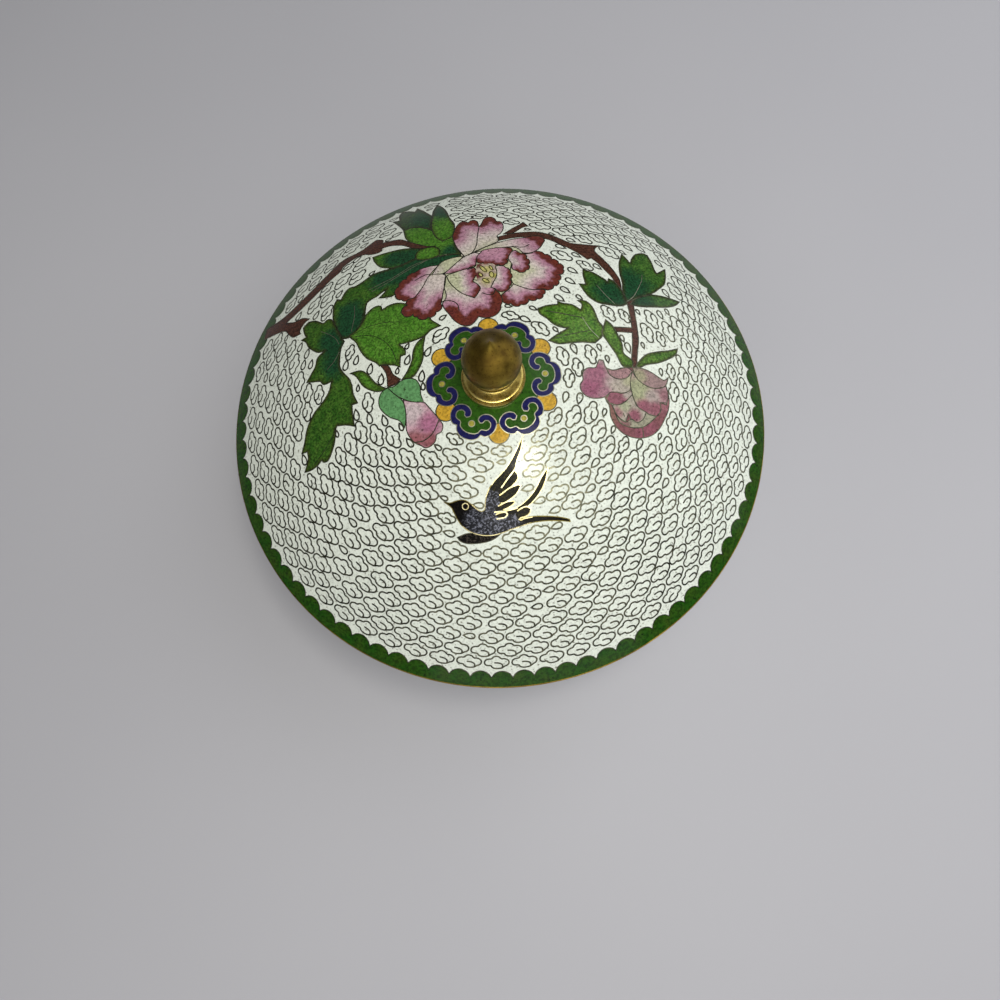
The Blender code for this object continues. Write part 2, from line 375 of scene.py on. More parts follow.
class Drawing:
    """Fields of enamel and free wires on one skin."""

    def __init__(self, skin):
        self.skin = skin
        self.fields = []
        self.threads = []
        self.motif_from = 0

    def field(self, group, outline, paint, wire=None, inner="same"):
        """A closed field.  wire is the kind on its edge, inner where it meets its own group."""
        inner = wire if inner == "same" else inner
        self.fields.append(Field(group, np.asarray(outline, float), paint, wire, inner))

    def leaf(self, group, outline, *cores, **look):
        """A leaf through control points, with cores of (x, y, radius)."""
        line = spline(outline)
        self.field(group, line, foliage(line, cores, **look), "leaf")

    def thread(self, wire, *lines, closed=False):
        """Wires that divide no fields, such as veins."""
        self.threads += [(wire, spline(points, closed, 0.7), closed) for points in lines]

    def top(self, points):
        """Number of the uppermost field at each point, or -1."""
        found = np.full(len(points), -1)
        for number, field in enumerate(self.fields):
            found[inside(points, field.outline)] = number
        return found

    def covered(self, points):
        """Which points lie in a motif."""
        return self.top(points) >= self.motif_from

    def cut(self, detail, coarse):
        """Triangles of the plan, each in its uppermost field.  detail is the spacing by group."""
        verts = []
        edges = []
        for field in self.fields:
            ring = list(range(len(verts), len(verts) + len(field.outline)))
            verts.extend(field.outline)
            edges.extend(zip(ring, ring[1:] + ring[:1]))
        groups = np.array([field.group for field in self.fields])
        for group in dict.fromkeys(groups):
            step = detail.get(group, coarse)
            own = np.vstack([f.outline for f in self.fields if f.group == group])
            low = own.min(0)
            high = own.max(0)
            rows = np.arange(low[1], high[1], step * GRID_ROWS)
            grid = np.array([
                (x + (k % 2) * step / 2, y)
                for k, y in enumerate(rows) for x in np.arange(low[0], high[0], step)
            ])
            number = self.top(grid)
            verts.extend(grid[(number >= 0) & (groups[number] == group)])
        result = delaunay_2d_cdt([Vector(v) for v in verts], edges, [], 0, MERGE, False)
        self.plan = np.array([v[:] for v in result[0]])
        triangles = np.array(result[2])
        a, b, c = (self.plan[triangles[:, k]] for k in range(3))
        number = self.top((a + b + c) / 3)
        (ux, uy), (vx, vy) = (b - a).T, (c - a).T
        turn = ux * vy - uy * vx
        triangles[turn < 0] = triangles[turn < 0][:, ::-1]
        real = (np.abs(turn) > 1e-7) & (number >= 0)
        self.triangles = triangles[real]
        self.number = number[real]

    def seams(self):
        """Lines between fields, as {wire kind: [(points, closed)]}."""
        sides = {}
        for triangle, number in zip(self.triangles.tolist(), self.number.tolist()):
            for a, b in zip(triangle, triangle[1:] + triangle[:1]):
                sides.setdefault((min(a, b), max(a, b)), []).append(number)
        kinds = {}
        for edge, numbers in sides.items():
            if len(numbers) == 2 and numbers[0] != numbers[1]:
                upper, lower = (self.fields[n] for n in (max(numbers), min(numbers)))
                kind = upper.inner if upper.group == lower.group else upper.wire
                if kind:
                    kinds.setdefault(kind, []).append(edge)
        return {kind: self.chain(edges) for kind, edges in kinds.items()}

    def chain(self, edges):
        """Edges joined end to end into lines."""
        near = {}
        for a, b in edges:
            near.setdefault(a, set()).add(b)
            near.setdefault(b, set()).add(a)
        used = set()
        different = {}
        for start in [v for v in near if len(near[v]) != 2] + list(near):
            for following in sorted(near[start]):
                if (start, following) in used:
                    continue
                path = [start, following]
                used |= {(start, following), (following, start)}
                while len(near[path[-1]]) == 2 and path[-1] != start:
                    ahead = [v for v in near[path[-1]] if (path[-1], v) not in used]
                    if not ahead:
                        break
                    used |= {(path[-1], ahead[0]), (ahead[0], path[-1])}
                    path.append(ahead[0])
                closed = path[-1] == start
                line = thinned(self.plan[path[:-1] if closed else path])
                if len(line) > 1:
                    same = frozenset(map(tuple, line.tolist()))
                    different.setdefault(same, (line, closed and len(line) > 2))
        return list(different.values())


def thinned(line, least=0.3):
    """The line without points that nearly coincide."""
    kept = [0]
    for i in range(1, len(line)):
        if math.hypot(*(line[i] - line[kept[-1]])) > least:
            kept.append(i)
    last = len(line) - 1
    if kept[-1] != last:
        kept = (kept[:-1] or kept) + [last]
    return line[kept]


# ---------------------------------------------------------------- meshes

def add_mesh(name, points, faces, material):
    """An object from points in millimetres and faces."""
    mesh = bpy.data.meshes.new(name)
    mesh.from_pydata((np.asarray(points) * MM).tolist(), [], [list(f) for f in faces])
    mesh.materials.append(material)
    piece = bpy.data.objects.new(name, mesh)
    bpy.context.scene.collection.objects.link(piece)
    return piece


def dress(piece, slot, *nodes):
    """Fix a finished piece to the frame."""
    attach(piece, "root")
    if nodes:
        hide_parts(*nodes)


def rim_edges(triangles):
    """Edges that bound the triangles, in their own direction."""
    sides = {(t[k], t[(k + 1) % 3]): None for t in triangles for k in range(3)}
    return [(a, b) for a, b in sides if (b, a) not in sides]


def unpinched(plan, triangles):
    """Plan points and triangles, pulled apart where a field touches itself in one point."""
    plan = plan.tolist()
    starts, counts = np.unique([a for a, b in rim_edges(triangles.tolist())], return_counts=True)
    for vertex in starts[counts > 1].tolist():
        left = np.flatnonzero((triangles == vertex).any(1)).tolist()
        here = np.array(plan[vertex])
        while left:
            fan = [left.pop()]
            for known in fan:
                touching = [t for t in left if len(set(triangles[t]) & set(triangles[known])) > 1]
                fan += touching
                left = [t for t in left if t not in touching]
            towards = np.array([plan[v] for v in triangles[fan].ravel()]).mean(0) - here
            place = (here + PINCH_GAP * towards / np.linalg.norm(towards)).tolist()
            if left:
                triangles[fan] = np.where(triangles[fan] == vertex, len(plan), triangles[fan])
                plan.append(place)
            else:
                plan[vertex] = place
    return np.array(plan), triangles


def enamel_slab(name, drawing, group, material):
    """The fields of one group as a thin closed slab, painted per field."""
    numbers = [n for n, field in enumerate(drawing.fields) if field.group == group]
    chosen = np.isin(drawing.number, numbers)
    owner = drawing.number[chosen]
    used, compact = np.unique(drawing.triangles[chosen], return_inverse=True)
    plan, compact = unpinched(drawing.plan[used], compact.reshape(-1, 3))
    count = len(plan)
    if drawing.skin.side < 0:
        compact = compact[:, ::-1]
    points = np.vstack([drawing.skin.place(plan), drawing.skin.place(plan, -ENAMEL)])
    rim = rim_edges(compact.tolist())
    walls = [(b, a, a + count, b + count) for a, b in rim]
    faces = compact.tolist() + (compact[:, ::-1] + count).tolist() + walls
    piece = add_mesh(name, points, faces, material)
    top = np.zeros((len(owner), 3, 3))
    for number in np.unique(owner):
        mine = owner == number
        own, place = np.unique(compact[mine], return_inverse=True)
        top[mine] = drawing.fields[number].paint(plan[own])[place.reshape(-1, 3)]
    flat = top.reshape(-1, 3)
    colours = np.ones((len(piece.data.loops), 4), np.float32)
    colours[:, :3] = flat.mean(0)
    colours[: len(flat), :3] = flat
    colours[len(flat): 2 * len(flat), :3] = top[:, ::-1].reshape(-1, 3)
    layer = piece.data.color_attributes.new("Paint", "FLOAT_COLOR", "CORNER")
    layer.data.foreach_set("color", colours.clip(0, 1).ravel())
    piece.data.polygons.foreach_set("use_smooth", np.arange(len(faces)) < len(compact))
    sharp = piece.data.attributes.new("sharp_edge", "BOOLEAN", "EDGE")
    edges = {frozenset(edge) for edge in rim}
    flags = [frozenset(edge.vertices) in edges for edge in piece.data.edges]
    sharp.data.foreach_set("value", flags)
    return piece


STRIP = [(-1.0, -0.03), (-0.9, 0.05), (0.9, 0.05), (1.0, -0.03)]   # flat wire on a wider foot
KEEL = [(-1.0, 0.04), (1.0, 0.04), (0.0, -0.16)]                   # flat wire on a sharp keel


def wires(name, skin, lines, half, material, section=STRIP):
    """Wires along plan lines, with a section of (share of half, lift) let into the enamel."""
    wide = len(section)
    points = []
    faces = []
    caps = []
    total = 0
    for line, closed in lines:
        line = np.asarray(line, float)
        place = skin.place(line)
        out = skin.outward(line)
        if closed:
            ahead = np.roll(place, -1, 0) - place
            behind = place - np.roll(place, 1, 0)
        else:
            step = np.diff(place, axis=0)
            ahead = np.vstack([step, step[-1:]])
            behind = np.vstack([step[:1], step])
        ahead /= np.linalg.norm(ahead, axis=1)[:, None] + 1e-12
        behind /= np.linalg.norm(behind, axis=1)[:, None] + 1e-12
        along = ahead + behind
        size = np.linalg.norm(along, axis=1)
        along /= size[:, None] + 1e-12
        if not closed:
            place[0] -= WIRE_OVERLAP * along[0]
            place[-1] += WIRE_OVERLAP * along[-1]
        mitre = np.clip(2.0 / np.maximum(size, 1e-6), 1.0, LONGEST_MITRE)
        across = np.cross(out, along) * (half * mitre)[:, None]
        points += [place + across * offset + out * lift for offset, lift in section]
        count = len(line)
        grid = total + np.arange(wide * count).reshape(wide, count)
        total += wide * count
        now = np.arange(count if closed else count - 1)
        then = (now + 1) % count
        for near, far in zip(grid, np.roll(grid, -1, 0)):
            faces.append(np.stack([near[now], near[then], far[then], far[now]], 1))
        if not closed:
            caps += [grid[:, 0].tolist(), grid[::-1, -1].tolist()]
    return add_mesh(name, np.vstack(points), np.vstack(faces).tolist() + caps, material)


def lathe(name, profile, steps, material, sharp=32.0):
    """A closed profile of (radius, height) turned about Z.  It runs down its outer side."""
    turn = np.arange(steps) * TAU / steps
    points = []
    index = []
    for radius, height in profile:
        if radius < 1e-6:
            index.append([len(points)] * steps)
            points.append((0.0, 0.0, height))
        else:
            index.append(list(range(len(points), len(points) + steps)))
            points.extend((radius * math.cos(a), radius * math.sin(a), height) for a in turn)
    faces = []
    for upper, lower in zip(index, index[1:] + index[:1]):
        for i in range(steps):
            j = (i + 1) % steps
            face = list(dict.fromkeys([upper[i], lower[i], lower[j], upper[j]]))
            if len(face) > 2:
                faces.append(face)
    piece = add_mesh(name, points, faces, material)
    piece.data.shade_smooth()
    piece.data.set_sharp_from_angle(angle=math.radians(sharp))
    return piece


# ---------------------------------------------------------------- materials

def node(tree, kind, **settings):
    """A shader node with attributes and input values set by name."""
    made = tree.nodes.new(kind)
    for key, value in settings.items():
        if hasattr(made, key):
            setattr(made, key, value)
        else:
            made.inputs[key.replace("_", " ")].default_value = value
    return made


def ramp(tree, factor, *stops):
    """A colour ramp of (position, colour) stops."""
    made = tree.nodes.new("ShaderNodeValToRGB")
    band = made.color_ramp
    while len(band.elements) < len(stops):
        band.elements.new(0.5)
    for element, (position, colour) in zip(band.elements, stops):
        element.position = position
        element.color = (*colour, 1.0)
    tree.links.new(factor, made.inputs["Fac"])
    return made.outputs["Color"]


class Look:
    """A Principled material with settings on the shader's own sockets."""

    def __init__(self, name, **settings):
        self.material = bpy.data.materials.new(name)
        self.material.use_nodes = True
        self.tree = self.material.node_tree
        self.shader = self.tree.nodes["Principled BSDF"]
        for key, value in settings.items():
            self.shader.inputs[key.replace("_", " ")].default_value = value

    def noise(self, scale, detail, roughness, stretch=(1.0, 1.0, 1.0)):
        """Noise over the object's own space, in features per metre."""
        place = node(self.tree, "ShaderNodeTexCoord")
        mapping = node(self.tree, "ShaderNodeMapping", Scale=stretch)
        texture = node(self.tree, "ShaderNodeTexNoise", Scale=scale, Detail=detail,
                       Roughness=roughness)
        self.tree.links.new(place.outputs["Object"], mapping.inputs["Vector"])
        self.tree.links.new(mapping.outputs["Vector"], texture.inputs["Vector"])
        return texture.outputs["Fac"]

    def shades(self, pattern, *stops):
        """The noise of a pattern as a colour ramp."""
        return ramp(self.tree, self.noise(*pattern), *stops)

    def stain(self, colour, pattern, start, tint, end):
        """A colour multiplied by a tint where the pattern is low, and kept where it is high."""
        mix = node(self.tree, "ShaderNodeMix", data_type="RGBA", blend_type="MULTIPLY")
        mix.inputs["Factor"].default_value = 1.0
        self.tree.links.new(colour, mix.inputs[6])
        self.tree.links.new(self.shades(pattern, (start, tint), (end, (1, 1, 1))), mix.inputs[7])
        return mix.outputs[2]

    def drive(self, socket, value):
        """Feed a socket of the shader."""
        self.tree.links.new(value, self.shader.inputs[socket])

    def bump(self, pattern, strength, depth):
        """Surface relief from a pattern."""
        made = node(self.tree, "ShaderNodeBump", Strength=strength, Distance=depth)
        self.tree.links.new(self.noise(*pattern), made.inputs["Height"])
        self.drive("Normal", made.outputs["Normal"])


def enamel_material(name, roughness, pits, depth, grain, shine=0.25):
    """Polished enamel in its painted colours.

    grain is the scale of the fine mottling with the noise values where it starts and
    ends, depth is how dark it goes, and pits is how many open pits there are.
    """
    look = Look(name, Roughness=roughness, Specular_IOR_Level=shine)
    size, start, end = grain
    colour = node(look.tree, "ShaderNodeAttribute", attribute_name="Paint").outputs["Color"]
    colour = look.stain(colour, (size, 3.0, 0.65), start, (1 - depth,) * 3, end)
    colour = look.stain(colour, (160.0, 3.0, 0.6), 0.25, (0.92, 0.92, 0.91), 0.7)
    colour = look.stain(colour, (1100.0, 1.0, 0.4), 0.24 + pits, (0.42, 0.40, 0.36), 0.31 + pits)
    look.drive("Base Color", colour)
    look.bump((240.0, 3.0, 0.55), 0.12, 0.0002)
    return look.material


def brass_material(name, dark, mid, bright, roughness):
    """Aged turned brass: tarnish patches, rubbed lights and fine turning lines."""
    look = Look(name, Metallic=1.0, Roughness=roughness)
    colour = look.shades((90.0, 5.0, 0.62), (0.30, dark), (0.5, mid), (0.72, bright))
    look.drive("Base Color", look.stain(colour, (1400.0, 2.0, 0.6), 0.28, (0.45, 0.4, 0.36), 0.42))
    worn = (roughness * 0.75,) * 3
    dull = (roughness * 1.4,) * 3
    look.drive("Roughness", look.shades((260.0, 4.0, 0.6), (0.3, worn), (0.7, dull)))
    look.bump((60.0, 2.0, 0.5, (1.0, 1.0, 60.0)), 0.10, 0.0001)
    return look.material


def wire_material(name, dark, bright, roughness):
    """Cloison wire, brightened here and there where the polish has caught it."""
    look = Look(name, Metallic=1.0, Roughness=roughness)
    look.drive("Base Color", look.shades((500.0, 3.0, 0.6), (0.38, dark), (0.72, bright)))
    return look.material


def lining_material():
    """Counter-enamel: plain turquoise with a slight orange-peel."""
    look = Look("lining_enamel", Roughness=0.22, Coat_Weight=0.3)
    base = linear(TURQUOISE)
    colour = look.shades((120.0, 4.0, 0.6), (0.3, base * 0.72), (0.7, base))
    look.drive("Base Color", look.stain(colour, (700.0, 1.0, 0.4), 0.26, (0.1, 0.1, 0.1), 0.29))
    look.bump((380.0, 2.0, 0.5), 0.25, 0.0003)
    return look.material


white_enamel = enamel_material("white_enamel", 0.15, 0.02, 0.18, (1100.0, 0.39, 0.55))
green_enamel = enamel_material("green_enamel", 0.15, 0.03, 0.52, (820.0, 0.38, 0.58))
picture_enamel = enamel_material("picture_enamel", 0.15, 0.03, 0.36, (900.0, 0.40, 0.58))
leaf_enamel = enamel_material("leaf_enamel", 0.15, 0.03, 0.62, (1200.0, 0.40, 0.60))
speckled_enamel = enamel_material("speckled_enamel", 0.13, 0.0, 0.93, (1200.0, 0.50, 0.61), 0.08)
lining = lining_material()
brass = brass_material(
    "aged_brass", (0.088, 0.052, 0.011), (0.205, 0.135, 0.023), (0.40, 0.29, 0.052), 0.34
)
# A lighter copy of the aged brass, for the finial below its bead and for the seat: painted sheen where
# these catch the light.
bright_brass = brass_material(
    "sheen_brass", (0.34, 0.25, 0.06), (0.66, 0.52, 0.16), (0.86, 0.72, 0.32), 0.26
)
# Most wires are coloured far darker than their brass: painted shade for the dark room the polished wires
# mirror.
shaded_wire = wire_material("cell_wire", (0.046, 0.048, 0.036), (0.19, 0.185, 0.125), 0.33)
gold_wire = wire_material("gold_wire", (0.42, 0.36, 0.18), (0.75, 0.68, 0.42), 0.3)
olive_wire = wire_material("olive_wire", (0.10, 0.08, 0.02), (0.22, 0.18, 0.05), 0.34)
pale_wire = wire_material("pale_wire", (0.30, 0.30, 0.22), (0.62, 0.60, 0.46), 0.3)


# ---------------------------------------------------------------- the lid's picture

RUYI_OUTER = [           # outer side of half a head's navy band, as (radius, across), from its apex
    (25.1, 0.0), (24.7, 2.4), (23.4, 4.1), (21.7, 4.8), (21.7, 6.4), (20.0, 8.1), (17.2, 8.8),
    (14.8, 7.9), (13.6, 5.4), (14.0, 3.2), (15.4, 1.75), (16.9, 1.6), (17.7, 2.7),
]
RUYI_INNER = [           # its inner side, from the end of the scroll back to the apex
    (17.2, 3.7), (16.2, 4.0), (15.7, 5.1), (16.3, 6.3), (17.7, 6.8), (19.2, 6.1), (19.9, 4.1),
    (21.4, 3.5), (22.4, 1.9), (22.7, 0.0),
]
COLLAR_HEADS = 6
COLLAR_GROUND = 19.3


def draw_collar(drawing):
    """Six ruyi heads on green round the finial, with a yellow half disc between each two."""

    def lay(*layers, first=0.0):
        for k in range(COLLAR_HEADS):
            for outline, paint, wire in layers:
                turned = turned_points(outline, 360.0 / COLLAR_HEADS * (k + first))
                drawing.field("collar", turned, paint, wire)

    green = plain(COLLAR_GREEN, 0.25, 1.0)
    drawing.field("collar", circle(COLLAR_GROUND, 90), green, "collar")
    lay((circle(3.8, 36, (21.3, 0.0)), plain(YELLOW, 0.14, 1.5), "flower"), first=0.5)
    mirror = np.array([1.0, -1.0])
    outer = np.array(RUYI_OUTER)
    band = np.vstack([outer, RUYI_INNER])
    band = spline(np.vstack([band, band[-2:0:-1] * mirror]), step=0.6, sharp=50.0)
    head = spline(np.vstack([outer, outer[:0:-1] * mirror]), step=0.6, sharp=50.0)
    dot = circle(1.15, 18, (19.1, 0.0))
    lay((head, green, None))
    lay((band, plain(NAVY, 0.3, 1.2), "collar"), (dot, plain(DOT_YELLOW, 0.15, 1.0), "collar"))


PEONY_BED = [
    (-8, 78), (0, 74), (8, 76), (7, 66), (22, 65), (20, 56), (28, 49), (24, 40), (18, 35), (8, 34),
    (3, 29), (-8, 27), (-15, 35), (-24, 34), (-27, 40), (-31, 46), (-22, 53), (-8, 58),
]
TOP_PETAL = [
    (-6.7, 58.5), (-9.6, 65), (-10.4, 68.2), (-11.1, 72.8), (-10.1, 77.5), (-8.8, 81.2), (-7, 83.5),
    (-5.2, 83.2), (-4.1, 82.2), (-2.6, 83.8), (-1, 83.5), (0, 81.7), (0.3, 77.5), (1.6, 80.1),
    (2.9, 83.8), (4.7, 85.3), (6.5, 84.8), (7.8, 82.7), (8.1, 81.2), (9.9, 80.6), (10.7, 78),
    (10.4, 74.4), (8.9, 71.3), (7.6, 70.2), (7.8, 67.6), (7.6, 66.1), (1.1, 62.7),
]
UPPER_RIGHT_PETAL = [
    (-2.6, 60.1), (1.6, 62.7), (7.8, 65.3), (14.1, 67.1), (18.2, 67.6), (22.4, 68.7), (26, 68.2),
    (27.1, 66.1), (26, 63.5), (24.5, 60.9), (22.4, 58.8), (20.3, 57.8), (17.2, 57.8), (15.6, 60.4),
    (13, 61.9), (9.9, 61.9), (4.7, 61.7), (0.6, 60.9),
]
RIGHT_EDGE = frill([
    (20.6, 57.4), (25.8, 56.6), (28.2, 53.6), (30.8, 51.2), (32.2, 48.0), (30.0, 44.9), (29.4, 41.6),
    (27.2, 39.0), (23.0, 37.4),
])
RIGHT_PETAL = [(14, 58), (17.2, 57.2)] + RIGHT_EDGE + [
    (18.8, 37.2), (15.1, 38.5), (11.5, 40.6), (11, 48),
]
LOWER_RIGHT_EDGE = frill([
    (23.0, 37.2), (22.3, 34.6), (19.8, 32.6), (16.4, 32.8), (13.4, 30.2), (9.6, 31.0), (6.4, 34.0),
])
LOWER_RIGHT_PETAL = [(6.3, 35.4), (9.4, 38), (11.5, 40.6), (15.1, 38.5), (18.8, 37.2)] + LOWER_RIGHT_EDGE
INNER_TOP_EDGE = frill([
    (11.6, 61.6), (12.4, 58.6), (11.0, 56.0), (10.0, 54.4), (9.4, 51.8), (6.6, 51.8), (3.8, 53.0),
    (0.6, 53.6), (-2.0, 55.2),
])
INNER_TOP_PETAL = [(0.6, 60.9), (6, 61.9)] + INNER_TOP_EDGE + [(-1.5, 57.8), (0, 59.8)]
INNER_LEFT_TOP_PETAL = [
    (-6.7, 58.5), (-2.6, 60.1), (-0.7, 59.3), (-2, 55.7), (-2.6, 52.6), (-4.6, 51.8), (-8.8, 50.5),
    (-11.9, 50), (-15.6, 50), (-14, 51.5), (-11.9, 53.6), (-9.3, 56.2),
]
PALE_PETAL = [
    (-20.2, 51), (-17.1, 56.2), (-15, 57.8), (-10.9, 58.8), (-7.2, 58.8), (-8.8, 56.7), (-11.9, 53.6),
    (-15.6, 50.5),
]
FAR_LEFT_EDGE = frill([
    (-28.6, 40.0), (-33.0, 40.6), (-35.6, 44.0), (-34.2, 48.0), (-31.0, 51.4), (-27.6, 53.9),
], 0.22)
FAR_LEFT_PETAL = [
    (-19.2, 53.6), (-21.8, 50), (-24.4, 44.8), (-27.5, 40.6),
] + FAR_LEFT_EDGE + [(-25.4, 55.2), (-21.3, 55.9), (-17.4, 55.7)]
LOWER_LEFT_EDGE = frill([
    (-17.2, 34.6), (-19.4, 31.3), (-22.6, 29.4), (-26.8, 30.6), (-28.4, 32.4), (-32.6, 33.0),
    (-30.8, 37.2), (-29.6, 40.1),
])
LOWER_LEFT_PETAL = [(-27.5, 40.6)] + LOWER_LEFT_EDGE[::-1] + [
    (-16.1, 40.6), (-15, 45.8), (-14.8, 48.9), (-15.6, 50), (-20.2, 51), (-21.8, 50), (-24.4, 44.8),
]
SLIVER_PETAL = [
    (-14.8, 48.9), (-15, 45.8), (-16.1, 40.6), (-17.1, 35.4), (-15.6, 36.4), (-15, 38.5), (-15.6, 43.2),
]
INNER_LEFT_PETAL = [
    (-14.5, 48.9), (-10.9, 50), (-6.7, 51), (-3.6, 51.5), (-2.6, 50), (-2.8, 46.8), (-4.1, 44.2),
    (-2.6, 42.2), (-1.5, 40.1), (-2.6, 37.5), (-4.1, 35.4), (-5.7, 36.4), (-8.8, 38.5), (-11.4, 41.6),
    (-13.5, 45.3),
]
BOTTOM_EDGE = [
    (-16.6, 34.9), (-16.1, 32.3), (-14.2, 28.9), (-12.4, 25.8), (-9.8, 23.4), (-7.0, 22.7), (-5.0, 24.0),
    (-3.2, 26.3), (-0.6, 25.4), (1.8, 25.6), (4.0, 26.8), (5.4, 28.8), (5.6, 30.4), (6.4, 32.4),
    (6.2, 35.0),
]
BOTTOM_PETAL = BOTTOM_EDGE + [
    (4.2, 38.5), (-2, 44), (-10, 46), (-14.8, 48.9), (-15.6, 43.2), (-15, 38.5), (-15.6, 36.4),
]
STAMEN_CENTRE = [
    (-2.6, 45.4), (-2.0, 43), (-1.2, 41.2), (0.8, 39.8), (3.4, 40.0), (5.8, 42.6), (6.2, 46), (5.6, 49),
    (5.2, 51.6), (3.6, 52.8), (0.6, 53.2), (-1.8, 53), (-2.6, 50),
]
STAMENS = [                   # place, lean, half length, half width
    (0.3, 50.1, 122.0, 2.1, 0.75), (3.4, 46.6, 96.0, 1.6, 0.9), (0.9, 43.5, 134.0, 1.7, 0.75),
    (-0.9, 46.9, 118.0, 1.1, 0.65), (3.5, 50.2, 112.0, 1.5, 0.5),
]
INNER_RIGHT_EDGE = frill([
    (5.2, 50.5), (9.4, 49.6), (10.8, 46.6), (10.4, 43.0), (9.8, 39.6), (7.4, 37.2), (4.4, 38.8),
], 0.22)
INNER_RIGHT_PETAL = INNER_RIGHT_EDGE + [(2.6, 39.8), (3.8, 42.4), (5.2, 45.2), (5.6, 48.2)]
RIGHT_HEART_EDGE = frill([(16.2, 57.6), (18.0, 54.4), (18.4, 50.8), (17.2, 47.6), (13.8, 47.2)])
RIGHT_HEART_PETAL = [(12.5, 58.8), (14.1, 59.6)] + RIGHT_HEART_EDGE + [
    (11.8, 48.9), (12, 51.5), (10.8, 54.6),
]


def draw_peony(drawing):
    """The full bloom: outer petals first, then the inner ones that lie on them."""

    def lay(outline, *tips, **look):
        drawing.field("peony", spline(outline), petal(tips, **look), "flower")

    drawing.field("peony", spline(PEONY_BED), petal([[(0, 70), (1, 78)]]), None)
    lay(TOP_PETAL, TOP_PETAL[3:12], TOP_PETAL[13:19], deep=2.8, blush=7.5)
    lay(UPPER_RIGHT_PETAL, UPPER_RIGHT_PETAL[5:9], deep=3.0, blush=9.0)
    lay(FAR_LEFT_PETAL, FAR_LEFT_EDGE[3:], deep=3.0, blush=5.5)
    lay(LOWER_LEFT_PETAL, LOWER_LEFT_EDGE, deep=3.0, blush=6.0, reach=24.0)
    lay(PALE_PETAL, [(-20.2, 51), (-19, 53)], deep=-2.0, blush=2.0, reach=6.0)
    lay(RIGHT_PETAL, RIGHT_EDGE[3:], deep=3.0, blush=4.5, reach=6.0)
    lay(LOWER_RIGHT_PETAL, LOWER_RIGHT_EDGE[1:], deep=2.2, blush=5.0, reach=6.0)
    lay(BOTTOM_PETAL, BOTTOM_EDGE[2:12], BOTTOM_EDGE[11:], deep=4.4, blush=6.0, reach=7.0)
    lay(SLIVER_PETAL, [(-17, 36), (-16.4, 35)], deep=-3.0, blush=3.0, reach=4.0)
    lay(INNER_LEFT_TOP_PETAL, INNER_LEFT_TOP_PETAL[3:8], deep=0.7, blush=3.0)
    lay(INNER_TOP_PETAL, INNER_TOP_EDGE, deep=1.6, blush=9.0, body=(216, 164, 186))
    lay(RIGHT_HEART_PETAL, RIGHT_HEART_EDGE, deep=1.8, blush=3.5, heart=LILAC)
    lay(INNER_LEFT_PETAL, [(-3.2, 49.5), (-2.8, 46.8), (-3.2, 44.4)],
        [(-2.0, 40.6), (-2.6, 37.5), (-4.1, 35.8)], deep=1.7, blush=3.5, reach=3.0)
    drawing.field("peony", spline(STAMEN_CENTRE), spots(
        (196, 178, 164), (-1.9, 46.9, 2.2, MAROON), (-1.8, 52.6, 2.0, MAROON), (1.6, 53.6, 1.5, RUST),
        (1.6, 49.6, 2.2, (196, 188, 124)), (1.2, 43.6, 2.2, (198, 190, 132)), (4.2, 46, 1.6, STAMEN)))
    lay(INNER_RIGHT_PETAL, INNER_RIGHT_EDGE[6:-2], deep=1.4, blush=3.5, reach=4.0)
    for x, y, lean, long, wide in STAMENS:
        seed = turned_points(circle(1.0, 14) * (long, wide), lean) + (x, y)
        drawing.field("peony", seed, plain((204, 198, 124), 0.1, 1.0), "stamen")
    drawing.thread(
        "flower",
        [(0.3, 77), (-0.7, 70.8), (-1.3, 65.6), (-3.1, 60.9), (-5.2, 58.9)],
        [(13, 62.4), (17.2, 61.4), (20.3, 63)],
        [(-27.5, 49.4), (-23.4, 51.3), (-20.8, 51.3)],
        [(-16.1, 36), (-13, 35.4), (-10.9, 33.3), (-10.4, 30.2)],
        [(-1, 37.5), (1.1, 36.4), (3.2, 36.4), (4.2, 38.5)],
        [(-6, 50.6), (-3.4, 51.4), (-2.2, 52.8)],
    )


LEFT_BRANCH = [
    (-103, 54), (-94, 54.5), (-88.4, 56.6), (-81.5, 60.8), (-75.9, 64.9), (-69.7, 70.5), (-64.8, 75.3),
    (-60.7, 77.8), (-56.5, 78.4), (-52.4, 79.8), (-48.2, 83), (-46.1, 84.3), (-42.7, 82.3),
    (-42.7, 80.2), (-38.5, 79.8), (-34.3, 78.8), (-30.2, 75.3), (-26, 71.9), (-21.8, 69.1),
    (-18.4, 68.4), (-23.9, 68.4), (-28.1, 69.8), (-32.2, 73.2), (-35.7, 75), (-39.9, 76), (-42.7, 75.7),
    (-42.7, 73.9), (-44.7, 73.2), (-48.2, 73.9), (-51, 75.3), (-55.1, 75.3), (-59.3, 73.2),
    (-61.7, 71.2), (-62.4, 69.1), (-66.2, 66.3), (-70.4, 62.8), (-74.6, 59.4), (-79.4, 55.9),
    (-84.3, 53.1), (-89.8, 50.4), (-84.3, 48.3), (-80.1, 48.3), (-75.9, 46.2), (-78.7, 44.8),
    (-80.8, 41.3), (-80.1, 39.7), (-84.3, 39.7), (-87, 42.4), (-89.7, 45.6), (-95.4, 46.9),
    (-103.7, 47.6),
]
